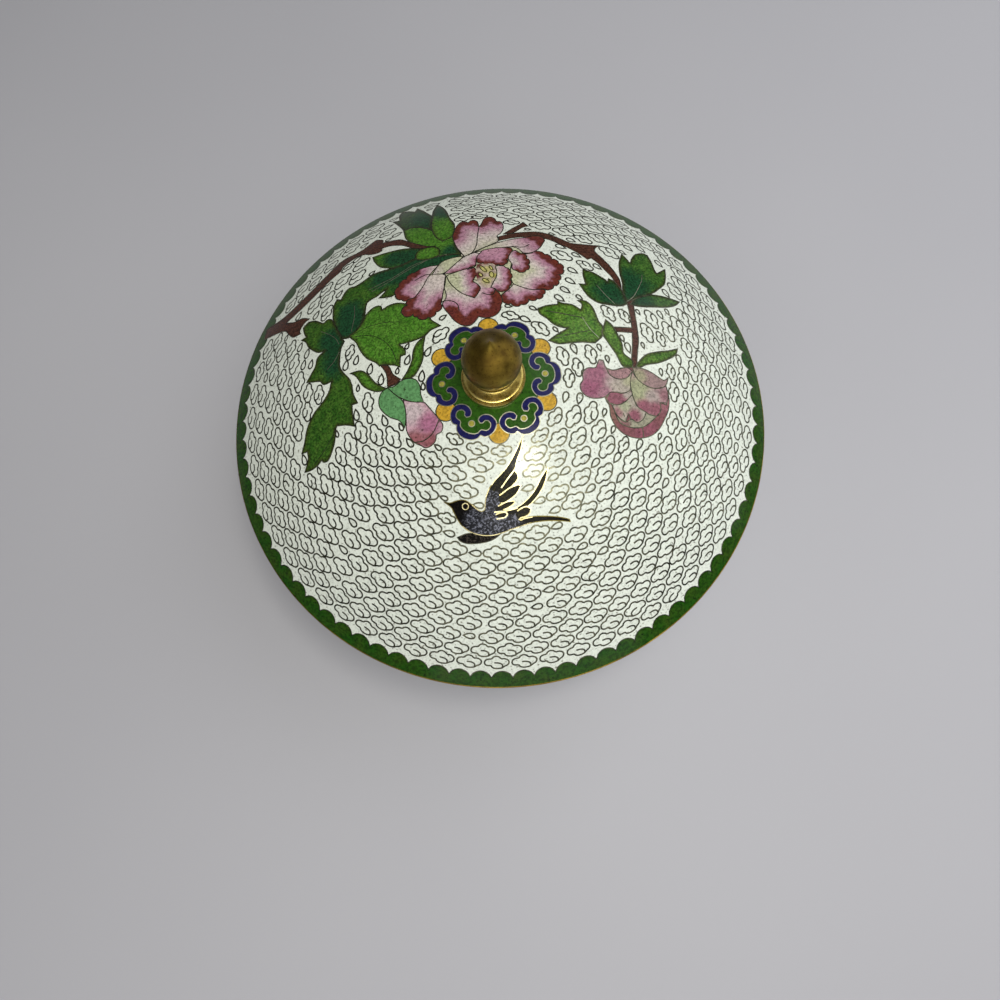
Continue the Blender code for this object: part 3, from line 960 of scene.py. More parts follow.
LEFT_LEAF = [
    (-58.2, 28), (-61, 34), (-64.1, 40.5), (-66.2, 41.6), (-68.3, 40.5), (-69.4, 41.1), (-72.6, 43.5),
    (-76.3, 44.3), (-79, 42.4), (-78.2, 39.2), (-76.9, 36.5), (-79.5, 36), (-76.9, 33.9), (-75.3, 30.7),
    (-72.1, 27.5), (-69.9, 26.1), (-67.3, 25.9), (-70.5, 23.7), (-71.5, 20), (-73.7, 16.8),
    (-75.8, 13.9), (-72.1, 13.1), (-68.9, 12.3), (-67.8, 10.7), (-66.2, 10.4), (-63.8, 10.9),
    (-65.1, 6.7), (-68.3, 2.9), (-71.5, 0.3), (-74.2, -2.9), (-76.3, -6.7), (-77.7, -11.5),
    (-79.5, -15.7), (-76.6, -15.5), (-76.6, -18.9), (-78.7, -23.5), (-75.3, -23.2), (-72.1, -21.9),
    (-70.2, -20.3), (-69.4, -21.3), (-67.3, -21.1), (-65.1, -17.9), (-63.5, -14.1), (-63, -10.4),
    (-62.2, -8.3), (-58.2, -8.8), (-54.5, -10.1), (-55, -5.6), (-55, -1.3), (-52.6, -1.1), (-54.2, 2.9),
    (-54.7, 6.7), (-55.8, 9.9), (-58.2, 13.1), (-59.8, 16.3), (-59.8, 20), (-59.3, 24.3), (-57.7, 27.5),
]
LONG_LEAF = [
    (-8, 62.5), (-19.8, 63), (-27.4, 62.6), (-33, 60.6), (-38.5, 60), (-43.6, 59.8), (-46.2, 59.2),
    (-50, 57), (-53.8, 55.4), (-56.8, 55.5), (-58.4, 54.2), (-60.4, 50.2), (-62.5, 51.2), (-63.7, 48),
    (-63.8, 43.4), (-63.5, 40.3), (-60, 30), (-55.5, 28.5), (-52.3, 30.7), (-49.7, 33.9), (-48.8, 37.1),
    (-48, 43.4), (-46.2, 44.7), (-43.6, 45.7), (-41.2, 47.2), (-39.4, 48.4), (-40.8, 46.2),
    (-42.8, 44.4), (-40, 43.8), (-36.5, 43.8), (-31, 48), (-26, 52), (-8, 56),
]
MIDDLE_LEAF = [
    (-55.5, 29.6), (-52.3, 31.2), (-49.1, 35.5), (-48.6, 37.1), (-45.9, 39.7), (-43.3, 40.5),
    (-41.7, 39.7), (-41.4, 37.9), (-38.5, 39.2), (-35.3, 39.5), (-32.6, 38.7), (-24, 34), (-21.4, 28),
    (-19.3, 25.9), (-17.9, 24.5), (-21.9, 23.2), (-24.1, 21.3), (-28.9, 19.9), (-34.6, 19.5),
    (-33.2, 18.2), (-32.1, 16.2), (-32.3, 14.6), (-34.1, 14.4), (-34.5, 12.1), (-34.6, 9.8),
    (-36.9, 11.1), (-39.2, 11.7), (-41.3, 12.4), (-42.8, 12.0), (-44.3, 13.9), (-48, 16.7),
    (-50.7, 20.9), (-52.6, 25.3), (-55, 28.2),
]
SMALL_LEFT_LEAF = [
    (-55.5, 12.1), (-50.7, 12), (-47.5, 9.3), (-44.9, 5.6), (-41.7, 2.9), (-39.8, 1.9), (-43.8, 1.6),
    (-47.5, 3.2), (-50.2, 5.6), (-52.3, 9.3), (-53.9, 11.2),
]
SMALL_RIGHT_LEAF = [
    (-24.1, 21.1), (-27.3, 18.9), (-29.1, 15.7), (-29.9, 11.5), (-32.1, 7.2), (-34.2, 4.5), (-29.9, 4.8),
    (-27.3, 7.7), (-25.4, 12), (-25.1, 16.3),
]
TOP_LEAF = [
    (-33.6, 87.1), (-37.1, 94), (-39.2, 97.5), (-35.7, 96.8), (-36.4, 102.4), (-35.4, 105.8),
    (-32.2, 105.1), (-28.8, 102.4), (-27.7, 105.8), (-24.6, 101), (-21.8, 96.1), (-20.1, 93.4),
    (-19.8, 98.2), (-18, 105.1), (-14.9, 99.6), (-13.2, 94), (-12.1, 88.5), (-10.1, 82.3), (-10.6, 74),
    (-9.8, 66), (-8, 60.4), (-17, 61), (-22, 60.6), (-25, 63), (-25, 66.5), (-25.6, 68.6), (-28.6, 73),
    (-31.6, 78.1), (-32.2, 80.2), (-33.3, 86.4),
]
TOP_LEAF_DARK = TOP_LEAF[:12] + [
    (-20.4, 86), (-20.2, 80.4), (-22.4, 82.6), (-25.6, 84.9), (-29, 86.3), (-32.2, 85.6), (-33.3, 86.4),
]
TOP_LEAF_RIGHT = TOP_LEAF[11:18] + [
    (-10.1, 82.3), (-10.6, 74), (-15.4, 70.6), (-18, 74), (-19.9, 80), (-20.4, 86),
]
ROUND_LEAF = [
    (-27.2, 63.6), (-26.4, 66.6), (-24, 68.3), (-21, 68.7), (-18.6, 67.8), (-16.8, 65), (-17.4, 61.6),
    (-22, 60.4), (-26, 61.4),
]
UPPER_LEAF = [
    (-46.8, 71.2), (-45.4, 67), (-42.7, 62.8), (-38.5, 60.4), (-35, 59.5), (-22, 61), (-22, 64),
    (-25, 68.6), (-31.6, 70.8), (-37.1, 71.5), (-42.7, 71.5),
]
BUD_STEM = [
    (-42.5, 12.5), (-39.2, 11.2), (-37.6, 7.5), (-34.7, 4.8), (-36.5, 3.2), (-40, 2.6), (-40.2, 8),
]
SEPAL_LEFT = [
    (-40.1, 2.4), (-42.7, 0.8), (-43.9, -2.4), (-43.3, -5.6), (-40.1, -9.3), (-36.3, -11.5),
    (-34.5, -14.4), (-33.7, -10.9), (-33.7, -7.2), (-34.5, -4), (-36.9, -1.3),
]
SEPAL_RIGHT = [
    (-36.9, -1.3), (-33.7, -3.7), (-30.5, -5.1), (-26.5, -5.9), (-27.3, -2.9), (-27.5, 0.8),
    (-28.9, 3.5), (-31.5, 4.5), (-34.7, 4), (-37.4, 2.4), (-40.1, 2.4),
]
LEFT_BUD = [
    (-34.2, -3.7), (-33.7, -7.7), (-33.7, -12), (-33.9, -15.2), (-33.1, -17.9), (-31, -20.8),
    (-28.9, -22.1), (-27.3, -23.2), (-25.1, -22.7), (-23.3, -21.1), (-22.7, -18.9), (-20.9, -18.1),
    (-20.1, -15.7), (-21.4, -13.1), (-23.5, -9.9), (-25.7, -6.7), (-26.5, -5.9), (-30.5, -5.1),
]


def draw_left_spray(drawing):
    """The long branch at the left, its leaves and the small bud."""
    leaf = partial(drawing.leaf, "left_leaves")
    shade = {"base": (48, 96, 25), "light": (86, 128, 46)}
    leaf(UPPER_LEAF, (-30, 64.5, 10.0), (-37, 66, 7.0))
    leaf(LONG_LEAF, (-54, 34, 14.0), (-41, 55.5, 9.0), (-33, 56, 11.0), (-24, 58, 13.0),
         (-14, 60, 10.0), (-59, 28, 10.0), (-56, 42, 7.0), **shade)
    leaf(TOP_LEAF, (-12, 63, 6.0))
    leaf(TOP_LEAF_RIGHT, (-17, 101, 10.0), (-14, 96, 9.0))
    leaf(TOP_LEAF_DARK, (-24, 93, 9.0), (-21, 86, 5.0), base=(44, 72, 34), light=(70, 100, 48))
    leaf(ROUND_LEAF)
    drawing.field("branches", spline(LEFT_BRANCH), WOOD, "leaf")
    leaf(LEFT_LEAF, (-60.5, 27, 12.0), (-62, 18, 8.0), (-65, 31, 6.0), **shade)
    leaf(MIDDLE_LEAF)
    leaf(SMALL_LEFT_LEAF)
    leaf(SMALL_RIGHT_LEAF)
    drawing.field("branches", spline(BUD_STEM), WOOD, "leaf")
    drawing.field("left_bud", spline(LEFT_BUD), spots(
        (206, 168, 182), (-31, -9, 5, (216, 198, 204)), (-25, -14.5, 5.0, (184, 120, 152)),
        (-31, -20, 4.5, DUSKY), (-25, -21, 4, DUSKY)), "leaf")
    for sepal in (SEPAL_LEFT, SEPAL_RIGHT):
        drawing.field("left_sepals", spline(sepal), plain(JADE, 0.06, 2.0), "leaf")
    drawing.thread(
        "vein",
        [(-69.4, 36.5), (-65.1, 33.3), (-61.9, 30.1), (-60.3, 26.9)],
        [(-60.1, 23.2), (-62.4, 19.6), (-65.7, 16.8)],
        [(-53.7, 44), (-53.4, 38.7), (-54.7, 31.2)],
        [(-14, 61.6), (-27.6, 58.9), (-33.4, 55.8), (-37.8, 53.6), (-42.3, 52.2), (-47.4, 50.6)],
        [(-22, 60.2), (-30, 56.6), (-38, 52.4), (-46, 49.2)],
    )
    drawing.thread(
        "vein_dark",
        [(-54, 29.5), (-47, 31.2), (-40, 31.2), (-33, 29.6)],
        [(-53, 28.2), (-46, 26.6), (-41, 23), (-38, 19), (-36.6, 15), (-35.6, 11.6)],
        [(-62.6, -8.8), (-65.6, -13.5), (-70, -18.2), (-74, -21.2)],
    )
    drawing.thread("leaf", [(-21.2, -13.2), (-24, -18), (-27.6, -20.4), (-31, -20.6)])


RIGHT_BRANCH = [
    (8, 69.2), (13.3, 70.8), (18.7, 71.6), (25.1, 71.6), (29.3, 70), (33.6, 67.3), (37.9, 64.4),
    (42.1, 63.9), (47.5, 63.9), (50.7, 64.1), (48.5, 62.3), (47.7, 60.1), (50.1, 55.9), (52.3, 52.1),
    (54.4, 47.3), (55.5, 43.1), (55.2, 38.5), (53.9, 38.5), (52.3, 44.7), (50.1, 48.4), (47.5, 52.7),
    (45.3, 55.3), (43.5, 54.3), (42.1, 55.9), (40, 58), (36.8, 60.7), (33.1, 63.3), (29.3, 66),
    (25.6, 67.3), (19.7, 68.1), (14.4, 67.9), (8, 66.5),
]
RIGHT_TWIG = [
    (10.1, 70.8), (14.9, 75.1), (18.1, 77.7), (19.5, 79.3), (20.5, 77.7), (21.3, 76.1), (18.7, 75.1),
    (14.4, 71.4),
]
DARK_SMALL_LEAF = [
    (40.5, 48.1), (44.3, 46.8), (46.9, 44.9), (49.1, 43.1), (49.9, 42), (50.7, 43.9), (52.8, 42.5),
    (54.4, 39.9), (55.5, 37.2), (56.4, 31.1), (53.3, 29.7), (47.5, 30), (43.7, 30.8), (40.5, 33.5),
    (38.9, 36.7), (37.6, 40.1), (40.3, 39.9), (40, 44.7),
]
DARK_BIG_LEAF = [
    (56, 31.9), (55.5, 37.2), (56.3, 42), (56.3, 47.3), (57.1, 52.7), (58.1, 55.9), (60, 60.1),
    (61.3, 58), (62.7, 54.8), (64.5, 58.5), (67.2, 61.7), (70.9, 63.3), (73.1, 62.8), (73.9, 58),
    (74.1, 53.2), (74.7, 51.1), (80, 55.3), (78.9, 50.5), (78.4, 48.9), (76.8, 45.2), (73.6, 42),
    (69.9, 38.8), (67.2, 37.2), (61.3, 34.6),
]
DARK_RIGHT_LEAF = [
    (57.6, 31.0), (61.3, 35.4), (67.2, 37.4), (74.7, 37.6), (82.1, 36.4), (79.5, 34), (75.2, 32.1),
    (69.3, 31.1), (61.3, 30.3),
]
RIGHT_STEM = [
    (56.3, 35), (59.2, 35), (58.7, 26), (58.4, 19.6), (57.9, 13.7), (56.5, 8.4), (55.2, 1.9),
    (52.8, 1.9), (53.9, 7.3), (54.9, 11.6), (55.8, 17.3), (48.3, 17.3), (48.3, 19.5), (56.1, 19.5),
    (56.3, 26),
]
BRIGHT_LEAF = [
    (19.5, 27.9), (22.9, 29.2), (27.5, 29.7), (27.7, 31.3), (29.3, 30.3), (33.1, 29.5), (36.3, 27.1),
    (37.1, 29.7), (35.5, 31.6), (38.9, 31.3), (41.1, 28.7), (42.1, 24.9), (42.7, 21.7), (44, 19.6),
    (43.2, 15.3), (41.1, 13.2), (39.5, 12.1), (34.7, 12.4), (29.9, 12.1), (25.6, 11.9), (21.9, 13.5),
    (26.1, 16.4), (29.9, 18.5), (26.7, 19.3), (24.5, 20.7), (22.4, 23.3), (20, 25.5),
]
NARROW_LEAF = [
    (45.6, 22.8), (48, 20.1), (49.6, 15.9), (50.7, 11.6), (50.7, 7.9), (53.9, 4.7), (53.3, 2),
    (49.6, 2.3), (47.5, 7.3), (44.8, 12.7), (43.2, 16.4), (44.3, 19.6),
]
LOW_RIGHT_LEAF = [
    (54.9, 2.5), (56.5, 4.7), (60.3, 7.9), (65.6, 9.5), (70.9, 10.5), (75.2, 11.9), (73.6, 8.9),
    (69.3, 6.3), (64.5, 4.4), (59.2, 3.3), (56.5, 2),
]
RIGHT_BUD = [
    (41.9, 4.7), (40.3, 4.9), (39.5, 3.6), (38.4, 1.7), (35.7, 1.7), (33.6, 0.4), (33, -1.7), (33, -3.1),
    (31.7, -4.9), (31.7, -7.1), (33.1, -9.2), (35.2, -10.3), (38.4, -10.5), (40.5, -10), (41.1, -11.9),
    (41.9, -13.5), (41.9, -17.2), (42.7, -19.9), (44.3, -22.5), (46.9, -24.7), (50.7, -26), (54.4, -26),
    (58.1, -24.9), (61.3, -22.5), (64, -18.8), (66.1, -15.1), (67.2, -10.8), (66.9, -6.5), (66.7, -4.4),
    (67.7, -2.5), (68.3, -1.5), (66.1, -2.8), (64, -1.7), (61.3, 0.1), (58.1, 1.5), (53.9, 2),
    (49.6, 1.7), (45.3, 0.7), (42.7, 1.7),
]
BUD_LEFT_PETAL = RIGHT_BUD[:14] + [
    (42.7, -8.6), (44, -9.6), (46.5, -10.2), (49.6, -8.9), (51.4, -6.5), (51.7, -3.3), (53.1, 0.4),
    (49.6, 1.7), (45.3, 0.7), (42.7, 1.7),
]
BUD_LEFT_FOLD = [
    (41.1, -11), (42.7, -8.4), (45, -8.2), (47.6, -8.6), (49.6, -8.2), (51.4, -7), (51.6, -9.2),
    (48.5, -11.9), (45.3, -13.2), (42.5, -12.8),
]
BUD_RIGHT_PETAL = [
    (53.1, 0.4), (51.7, -3.3), (51.5, -6.5), (52, -10.3), (53.3, -14), (54.9, -15.4), (57.6, -16.9),
    (60.8, -17.5), (62.9, -15.1), (62.9, -12.1), (65.6, -13), (67, -9.5), (66.9, -6.5), (66.4, -4.9),
    (64.5, -6), (60.8, -6.3), (57.1, -4.9), (54.4, -2.3),
]
BUD_LOW_PETAL = [
    (42.7, -12.6), (45.3, -13.2), (48.5, -11.9), (51.6, -9.2), (52.2, -11.6), (53.3, -14), (56.5, -16.1),
    (54.9, -18.8), (52.3, -20.1), (50.1, -18.8), (49.1, -16.7), (47.5, -19.9), (44.8, -17.7),
    (43.2, -14),
]
BUD_GREEN_BAND = [
    (43.2, -14), (44.8, -17.7), (47.5, -19.9), (50.1, -18.8), (52.3, -20.1), (54.9, -18.8),
    (56.5, -16.1), (57.6, -16.9), (60.8, -17.5), (62.2, -16.2), (59.6, -18.6), (56.6, -20.8),
    (53.9, -22), (49.6, -22), (45.3, -19.9),
]
BUD_TOP_LEFT = [
    (42.7, 1.5), (43.7, -1.2), (46.4, -2.8), (50.1, -2.5), (53.1, 0.4), (51, 1.8), (45.3, 0.7),
]
BUD_TOP_RIGHT = [
    (53.3, 1.9), (54.4, -2.3), (57.1, -4.9), (60.8, -6.3), (64.5, -6), (66.6, -4.9), (68.3, -1.5),
    (66.1, -2.8), (64, -1.7), (61.3, 0.1), (58.1, 1.5),
]


def draw_right_spray(drawing):
    """The branch at the right, its leaves and the round bud."""
    leaf = partial(drawing.leaf, "right_leaves")

    def part(outline, base, *marks):
        drawing.field("right_bud", spline(outline), spots(base, *marks), "leaf")

    drawing.field("branches", spline(RIGHT_TWIG), WOOD, "leaf")
    drawing.field("branches", spline(RIGHT_BRANCH), WOOD, "leaf")
    drawing.field("branches", spline(RIGHT_STEM, sharp=50.0), WOOD, "leaf")
    dark = {"base": (55, 101, 37), "light": (86, 130, 52)}
    leaf(DARK_RIGHT_LEAF, (60, 33, 12.0), **dark)
    leaf(DARK_BIG_LEAF, (60, 41, 14.0), (57, 35, 9.0), **dark)
    leaf(DARK_SMALL_LEAF, (50, 36, 10.0), (54, 33, 7.0), **dark)
    for outline in (BRIGHT_LEAF, NARROW_LEAF, LOW_RIGHT_LEAF):
        leaf(outline, base=(70, 122, 34), light=(122, 164, 66))
    part(RIGHT_BUD, (132, 82, 88), (43, -17, 4, (138, 100, 92)), (56, -24, 6, (146, 84, 100)),
         (65, -12, 5, (156, 102, 112)))
    part(BUD_LEFT_PETAL, (182, 162, 162), (36, -6, 6.0, (154, 92, 118)),
         (38.5, 0, 5.0, (160, 104, 126)), (41, -9, 3.5, (170, 124, 140)),
         (48, -6, 5, (182, 172, 162)), (51, -3.5, 3, (176, 174, 146)))
    part(BUD_LEFT_FOLD, (146, 92, 106), (50, -9, 2.4, (176, 166, 158)))
    part(BUD_RIGHT_PETAL, (168, 136, 140), (54.5, -7, 6.0, (168, 172, 138)),
         (60, -10, 3.6, (176, 162, 158)), (56, -14, 3.6, (150, 92, 108)),
         (61, -15, 3.6, (150, 94, 108)), (65.5, -9, 2.6, (152, 110, 118)))
    part(BUD_LOW_PETAL, (176, 168, 156), (45, -16, 2.6, (160, 118, 122)),
         (51.5, -17.5, 3.2, (150, 92, 108)), (48, -13.5, 2.6, (172, 176, 148)))
    part(BUD_GREEN_BAND, (160, 158, 138), (47, -21, 2.8, (150, 112, 112)))
    drawing.field("right_bud", spline(BUD_TOP_LEFT), plain((168, 132, 136), 0.16, 1.2), "leaf")
    part(BUD_TOP_RIGHT, (158, 132, 132), (55.5, -1.5, 3.6, (164, 160, 132)))
    drawing.thread(
        "vein",
        [(56, 32), (59.7, 35.1), (62.9, 39.9), (65.6, 44.7), (66.7, 48.4)],
        [(44.8, 39.9), (47.5, 35.1), (50.7, 30.8)],
        [(41.6, 14.4), (38.6, 18.4), (36.4, 23.4)],
    )
    drawing.thread("vein_dark", [(23.5, 14), (29.7, 15.7), (38.6, 17.6)])
    drawing.thread("leaf", [(22.5, 26.8), (29, 25.2), (36.4, 23.4)], [(54.1, -22), (54.4, -25.9)],
                   [(47.1, -16.4), (47.4, -17.8)], [(63, -12.1), (66, -12.2)])


BIRD_BODY = [
    (-22.7, -43.6), (-20.4, -44.3), (-18.4, -43.9), (-16.4, -43.7), (-14.4, -44.2), (-12.4, -46),
    (-10.4, -48), (-9.2, -48.7), (-8, -48), (-7.6, -46), (-7, -43.6), (-5.6, -40.8), (-3.4, -38.2),
    (-0.8, -41.0), (-2, -43.6), (-1.4, -45.8), (-3, -47.4), (-0.4, -49.3), (3.8, -49.6), (5.2, -51),
    (4.4, -52.8), (8, -52.3), (12, -52.4), (18, -53.2), (22.6, -54.5), (22.8, -55.4), (20, -54.9),
    (14, -54.3), (8, -54.6), (4, -55.5), (0.4, -56.3), (-2, -57), (-6, -57.6), (-10, -57.2),
    (-14, -55.6), (-16.8, -53.2), (-18.4, -50.4), (-19.5, -47.6), (-20.1, -46.0),
]
BIRD_FAR_WING = [
    (-19.2, -57), (-18.4, -58.4), (-16, -59.6), (-12.8, -60), (-8.4, -59.8), (-5.2, -58.8), (-2.6, -57),
    (-8, -57), (-12, -56.2), (-15.6, -56.0),
]
BIRD_FEATHERS = [
    [(-5.6, -40.8), (-3.6, -38.4), (-0.4, -35.6), (2, -33.2), (4.8, -29.2), (8.6, -22.6), (7.4, -27.4),
     (5.4, -31.8), (4.2, -35), (1.4, -38), (-1.2, -41), (-3.6, -42)],
    [(-1.2, -41), (1.4, -38), (4.1, -35.2), (5.2, -36.8), (4.9, -38.6), (2, -41.2), (-2.1, -43.6),
     (-2.6, -42.2)],
    [(-2.1, -43.6), (2, -41.2), (4.8, -40.4), (5.9, -40.9), (4.6, -43.1), (2, -45.1), (-1.2, -46.5),
     (-2.8, -45.6)],
    [(-4.6, -48.5), (-2.4, -47.2), (0.4, -46.1), (2.6, -46), (3.2, -46.7), (0.8, -48.2), (-2.4, -49)],
    [(-4.2, -50.6), (-2.2, -49.8), (-0.4, -49.9), (0.1, -50.6), (-0.8, -51.6), (-2.8, -51.9)],
    [(-0.8, -49.2), (4, -48.3), (8.0, -45.8), (11.2, -42.4), (13.6, -38.6), (16.4, -35.2), (15.2, -39.4),
     (12.8, -43.7), (9.0, -47.6), (4.6, -50.1), (1, -50.8)],
    [(3.8, -49.8), (5.2, -49), (7.2, -48.5), (8.8, -49.5), (8, -51.2), (5.6, -52.3), (3.8, -52.4),
     (3, -51)],
]
BIRD_WIRES = [
    [(-1.2, -41), (1.4, -38), (4.2, -35)],
    [(-2.1, -43.6), (2, -41.2), (4.8, -40.4)],
    [(-3, -47.4), (0.4, -46.1), (2.6, -46)],
    [(-4.6, -49.4), (-0.8, -49.4), (4, -48.7)],
    [(-4.2, -50.3), (-2.2, -49.8), (-0.4, -49.9), (0.1, -50.6), (-0.8, -51.6), (-4, -51.9)],
    [(3.8, -49.8), (5.2, -49), (7.2, -48.5), (8.6, -49.2)],
    [(6.2, -52.2), (4.8, -52.4), (4.2, -52.9), (4.8, -53.2), (5.8, -52.8), (9, -52.4)],
]


def draw_bird(drawing):
    """The swallow in flight, in front of the finial."""
    body = spots(BIRD_BLACK, (-8, -53, 7.5, SPECKLE), (-1, -53.5, 6.5, SPECKLE),
                 (-4.5, -45, 5.4, SPECKLE), (-13, -51.5, 3.4, SPECKLE))
    drawing.field("bird", spline(BIRD_FAR_WING), plain((62, 56, 50), 0.5, 0.8), "dusk")
    drawing.field("bird", spline(BIRD_BODY), body, "olive", None)
    for outline in BIRD_FEATHERS:
        drawing.field("bird", spline(outline), plain(FEATHER, 0.25, 1.2), "fine_gold", None)
    drawing.thread("gold", *BIRD_WIRES)
    drawing.thread("fine_gold", BIRD_BODY[5:12], BIRD_BODY[28:36])
    drawing.thread("fine_gold", circle(1.15, 9, (-14.9, -46.2)), closed=True)


# ---------------------------------------------------------------- cloud ground

CLOUD = [
    (-4.7, -0.3), (-4.25, 0.85), (-2.9, 1.45), (-1.95, 1.45), (-1.5, 2.15), (-0.3, 2.7), (1.05, 2.3),
    (1.7, 1.55), (2.9, 1.6), (4.15, 1.05), (4.65, 0.0), (4.1, -1.15), (2.9, -1.75), (2.1, -2.4),
    (0.6, -2.75), (-0.8, -2.7), (-1.8, -2.25), (-2.25, -1.5), (-3.3, -1.5), (-4.35, -1.2),
]
HOOK = [(-0.9, -0.2), (0.9, -0.35), (2.1, -1.1), (2.1, -2.4)]
DROP = [
    (-2.2, 0.0), (-0.9, 0.8), (0.6, 1.15), (1.8, 0.8), (2.2, 0.0), (1.8, -0.8), (0.6, -1.1),
    (-0.9, -0.75),
]
CLOUD_PITCH = 10.4            # along a ring
CLOUD_ROW = 5.35              # between rings
DROP_PITCH = 5.2              # room a drop takes along a ring
LAST_CLOUD = 0.92             # share of a pitch without which a ring takes no more clouds
LAST_DROP = 0.8               # share of a drop's room that calls for one where a ring closes
CLOUD_SIZES = (0.95, 1.01)    # smallest and largest, as a share of the outline
STRAY_DROPS = 0.03            # share of clouds with a drop before them for no need
MIRRORED = 0.04               # share of clouds that face the other way
ROOM = {"cloud": (5.05, 2.95), "drop": (2.6, 1.35)}    # half sizes of the room each kind needs
CLOUD_SLIP = 3.3              # a cloud this far off the gap beside it makes room for a drop
CLOUD_EASE = (-0.7, 1.0)      # how far a cloud is eased towards that gap
CLOUD_CLEAR = 1.10            # a cloud's outline grown by this has to stay off the motifs
FILLER_CLEAR = 1.12           # the same for the smaller shapes tried beside a motif
MOSTLY_HIDDEN = 0.8           # share of a cloud under a motif from which nothing takes its place
FILLERS = [                   # kind, size, and shift along the ring and between rings
    (kind, size, way * shift, way * lean) for kind, size, shift, lean in (
        ("cloud", 0.86, 1.2, 0.0), ("cloud", 0.8, 0.0, 0.8), ("cloud", 0.72, 2.0, 0.0),
        ("drop", 1.0, 2.6, 0.0), ("drop", 0.9, 0.0, 1.3), ("drop", 0.7, 3.2, 0.6),
        ("drop", 0.6, 1.8, -1.4),
    ) for way in (1, -1)
]


def half_turn(angle):
    """The same angle between minus and plus half a turn."""
    return (angle + math.pi) % TAU - math.pi


def cloud_rows(skin, first, last, seed):
    """Places of clouds and filling drops, ring by ring inwards, as (rho, turn, kind)."""
    chance = random.Random(seed)
    places = []
    centres = []
    rho = first
    while rho > last:
        girth = float(skin.girth(rho))

        def eased(turn):
            """The turn moved towards the nearest gap of the ring before, and how far off it is."""
            if not centres:
                return turn, 0.0
            off = min((half_turn(c - turn) for c in centres), key=abs) * girth
            low, high = CLOUD_EASE
            return turn + min(max(off, low), high) / girth, abs(off)

        start = centres[len(centres) // 3] if centres else chance.uniform(0, TAU)
        turns = [start]
        while True:
            ahead, off = eased(turns[-1] + CLOUD_PITCH / girth)
            drop = off > CLOUD_SLIP or chance.random() < STRAY_DROPS
            if drop:
                ahead, off = eased(turns[-1] + (CLOUD_PITCH + DROP_PITCH) / girth)
            left = (start + TAU - ahead) * girth
            if left < LAST_CLOUD * CLOUD_PITCH:
                if left + (ahead - turns[-1]) * girth > CLOUD_PITCH + LAST_DROP * DROP_PITCH:
                    places.append((rho, (turns[-1] + start + TAU) / 2, "drop"))
                break
            if drop:
                places.append((rho, (turns[-1] + ahead) / 2, "drop"))
            turns.append(ahead)
        places += [(rho, turn, "cloud") for turn in turns]
        centres = [(a + b) / 2 for a, b in zip(turns, turns[1:] + [turns[0] + TAU])]
        rho -= CLOUD_ROW
    return settled(skin, places)


def settled(skin, places, rounds=40, drift=0.5, slide=0.30, shift=0.15):
    """Places nudged apart, by drift at most from their rings, until the shapes lie clear.

    slide and shift are the shares of an overlap taken up in a round, along a ring and off it.
    """
    rho, turn = np.array([place[:2] for place in places]).T
    kinds = [place[2] for place in places]
    long, tall = (half[:, None] + half for half in np.array([ROOM[kind] for kind in kinds]).T)
    home = rho.copy()
    for _ in range(rounds):
        girth = skin.girth(rho)
        along = half_turn(turn[:, None] - turn) * girth[:, None]
        inward = rho[:, None] - rho
        near = np.hypot(along / long, inward / tall)
        np.fill_diagonal(near, 9.0)
        push = np.clip(1 - near, 0, 1) / np.maximum(near, 1e-6)
        turn = turn + slide * (push * along).sum(1) / girth
        rho = np.clip(rho + shift * (push * inward).sum(1), home - drift, home + drift)
    return list(zip(rho.tolist(), turn.tolist(), kinds))


def cloud_lines(drawing, places, up, seed, fine, hook):
    """Wires of the cloud ground, kept clear of the motifs."""
    chance = random.Random(seed)
    curl = resample(spline(HOOK, closed=False, step=0.3), hook, closed=False)
    shapes = {
        "cloud": resample(spline(CLOUD, step=0.3), fine),
        "drop": resample(spline(DROP, step=0.3, sharp=50.0), 20),
    }
    lines = []

    def ring(shape, rho, turn, scale):
        return ring_shape(drawing.skin, shape, rho, turn, up, scale)

    def add(kind, rho, turn, scale, mirror=1.0):
        lines.append((ring(shapes[kind] * (mirror, 1.0), rho, turn, scale), True))
        if kind == "cloud":
            lines.append((ring(curl * (mirror, 1.0), rho, turn, scale), False))

    for rho, turn, kind in places:
        hidden = drawing.covered(ring(shapes[kind], rho, turn, CLOUD_CLEAR)).mean()
        scale = chance.uniform(*CLOUD_SIZES)
        if hidden == 0:
            flipped = kind == "cloud" and chance.random() < MIRRORED
            add(kind, rho, turn, scale, -1.0 if flipped else 1.0)
        elif kind == "cloud" and hidden <= MOSTLY_HIDDEN:
            girth = float(drawing.skin.girth(rho))
            for filler, size, shift, lean in FILLERS:
                place = rho + lean, turn + shift / girth
                if not drawing.covered(ring(shapes[filler], *place, size * FILLER_CLEAR)).any():
                    add(filler, *place, size)
                    break
    return lines


# ---------------------------------------------------------------- lid and bowl

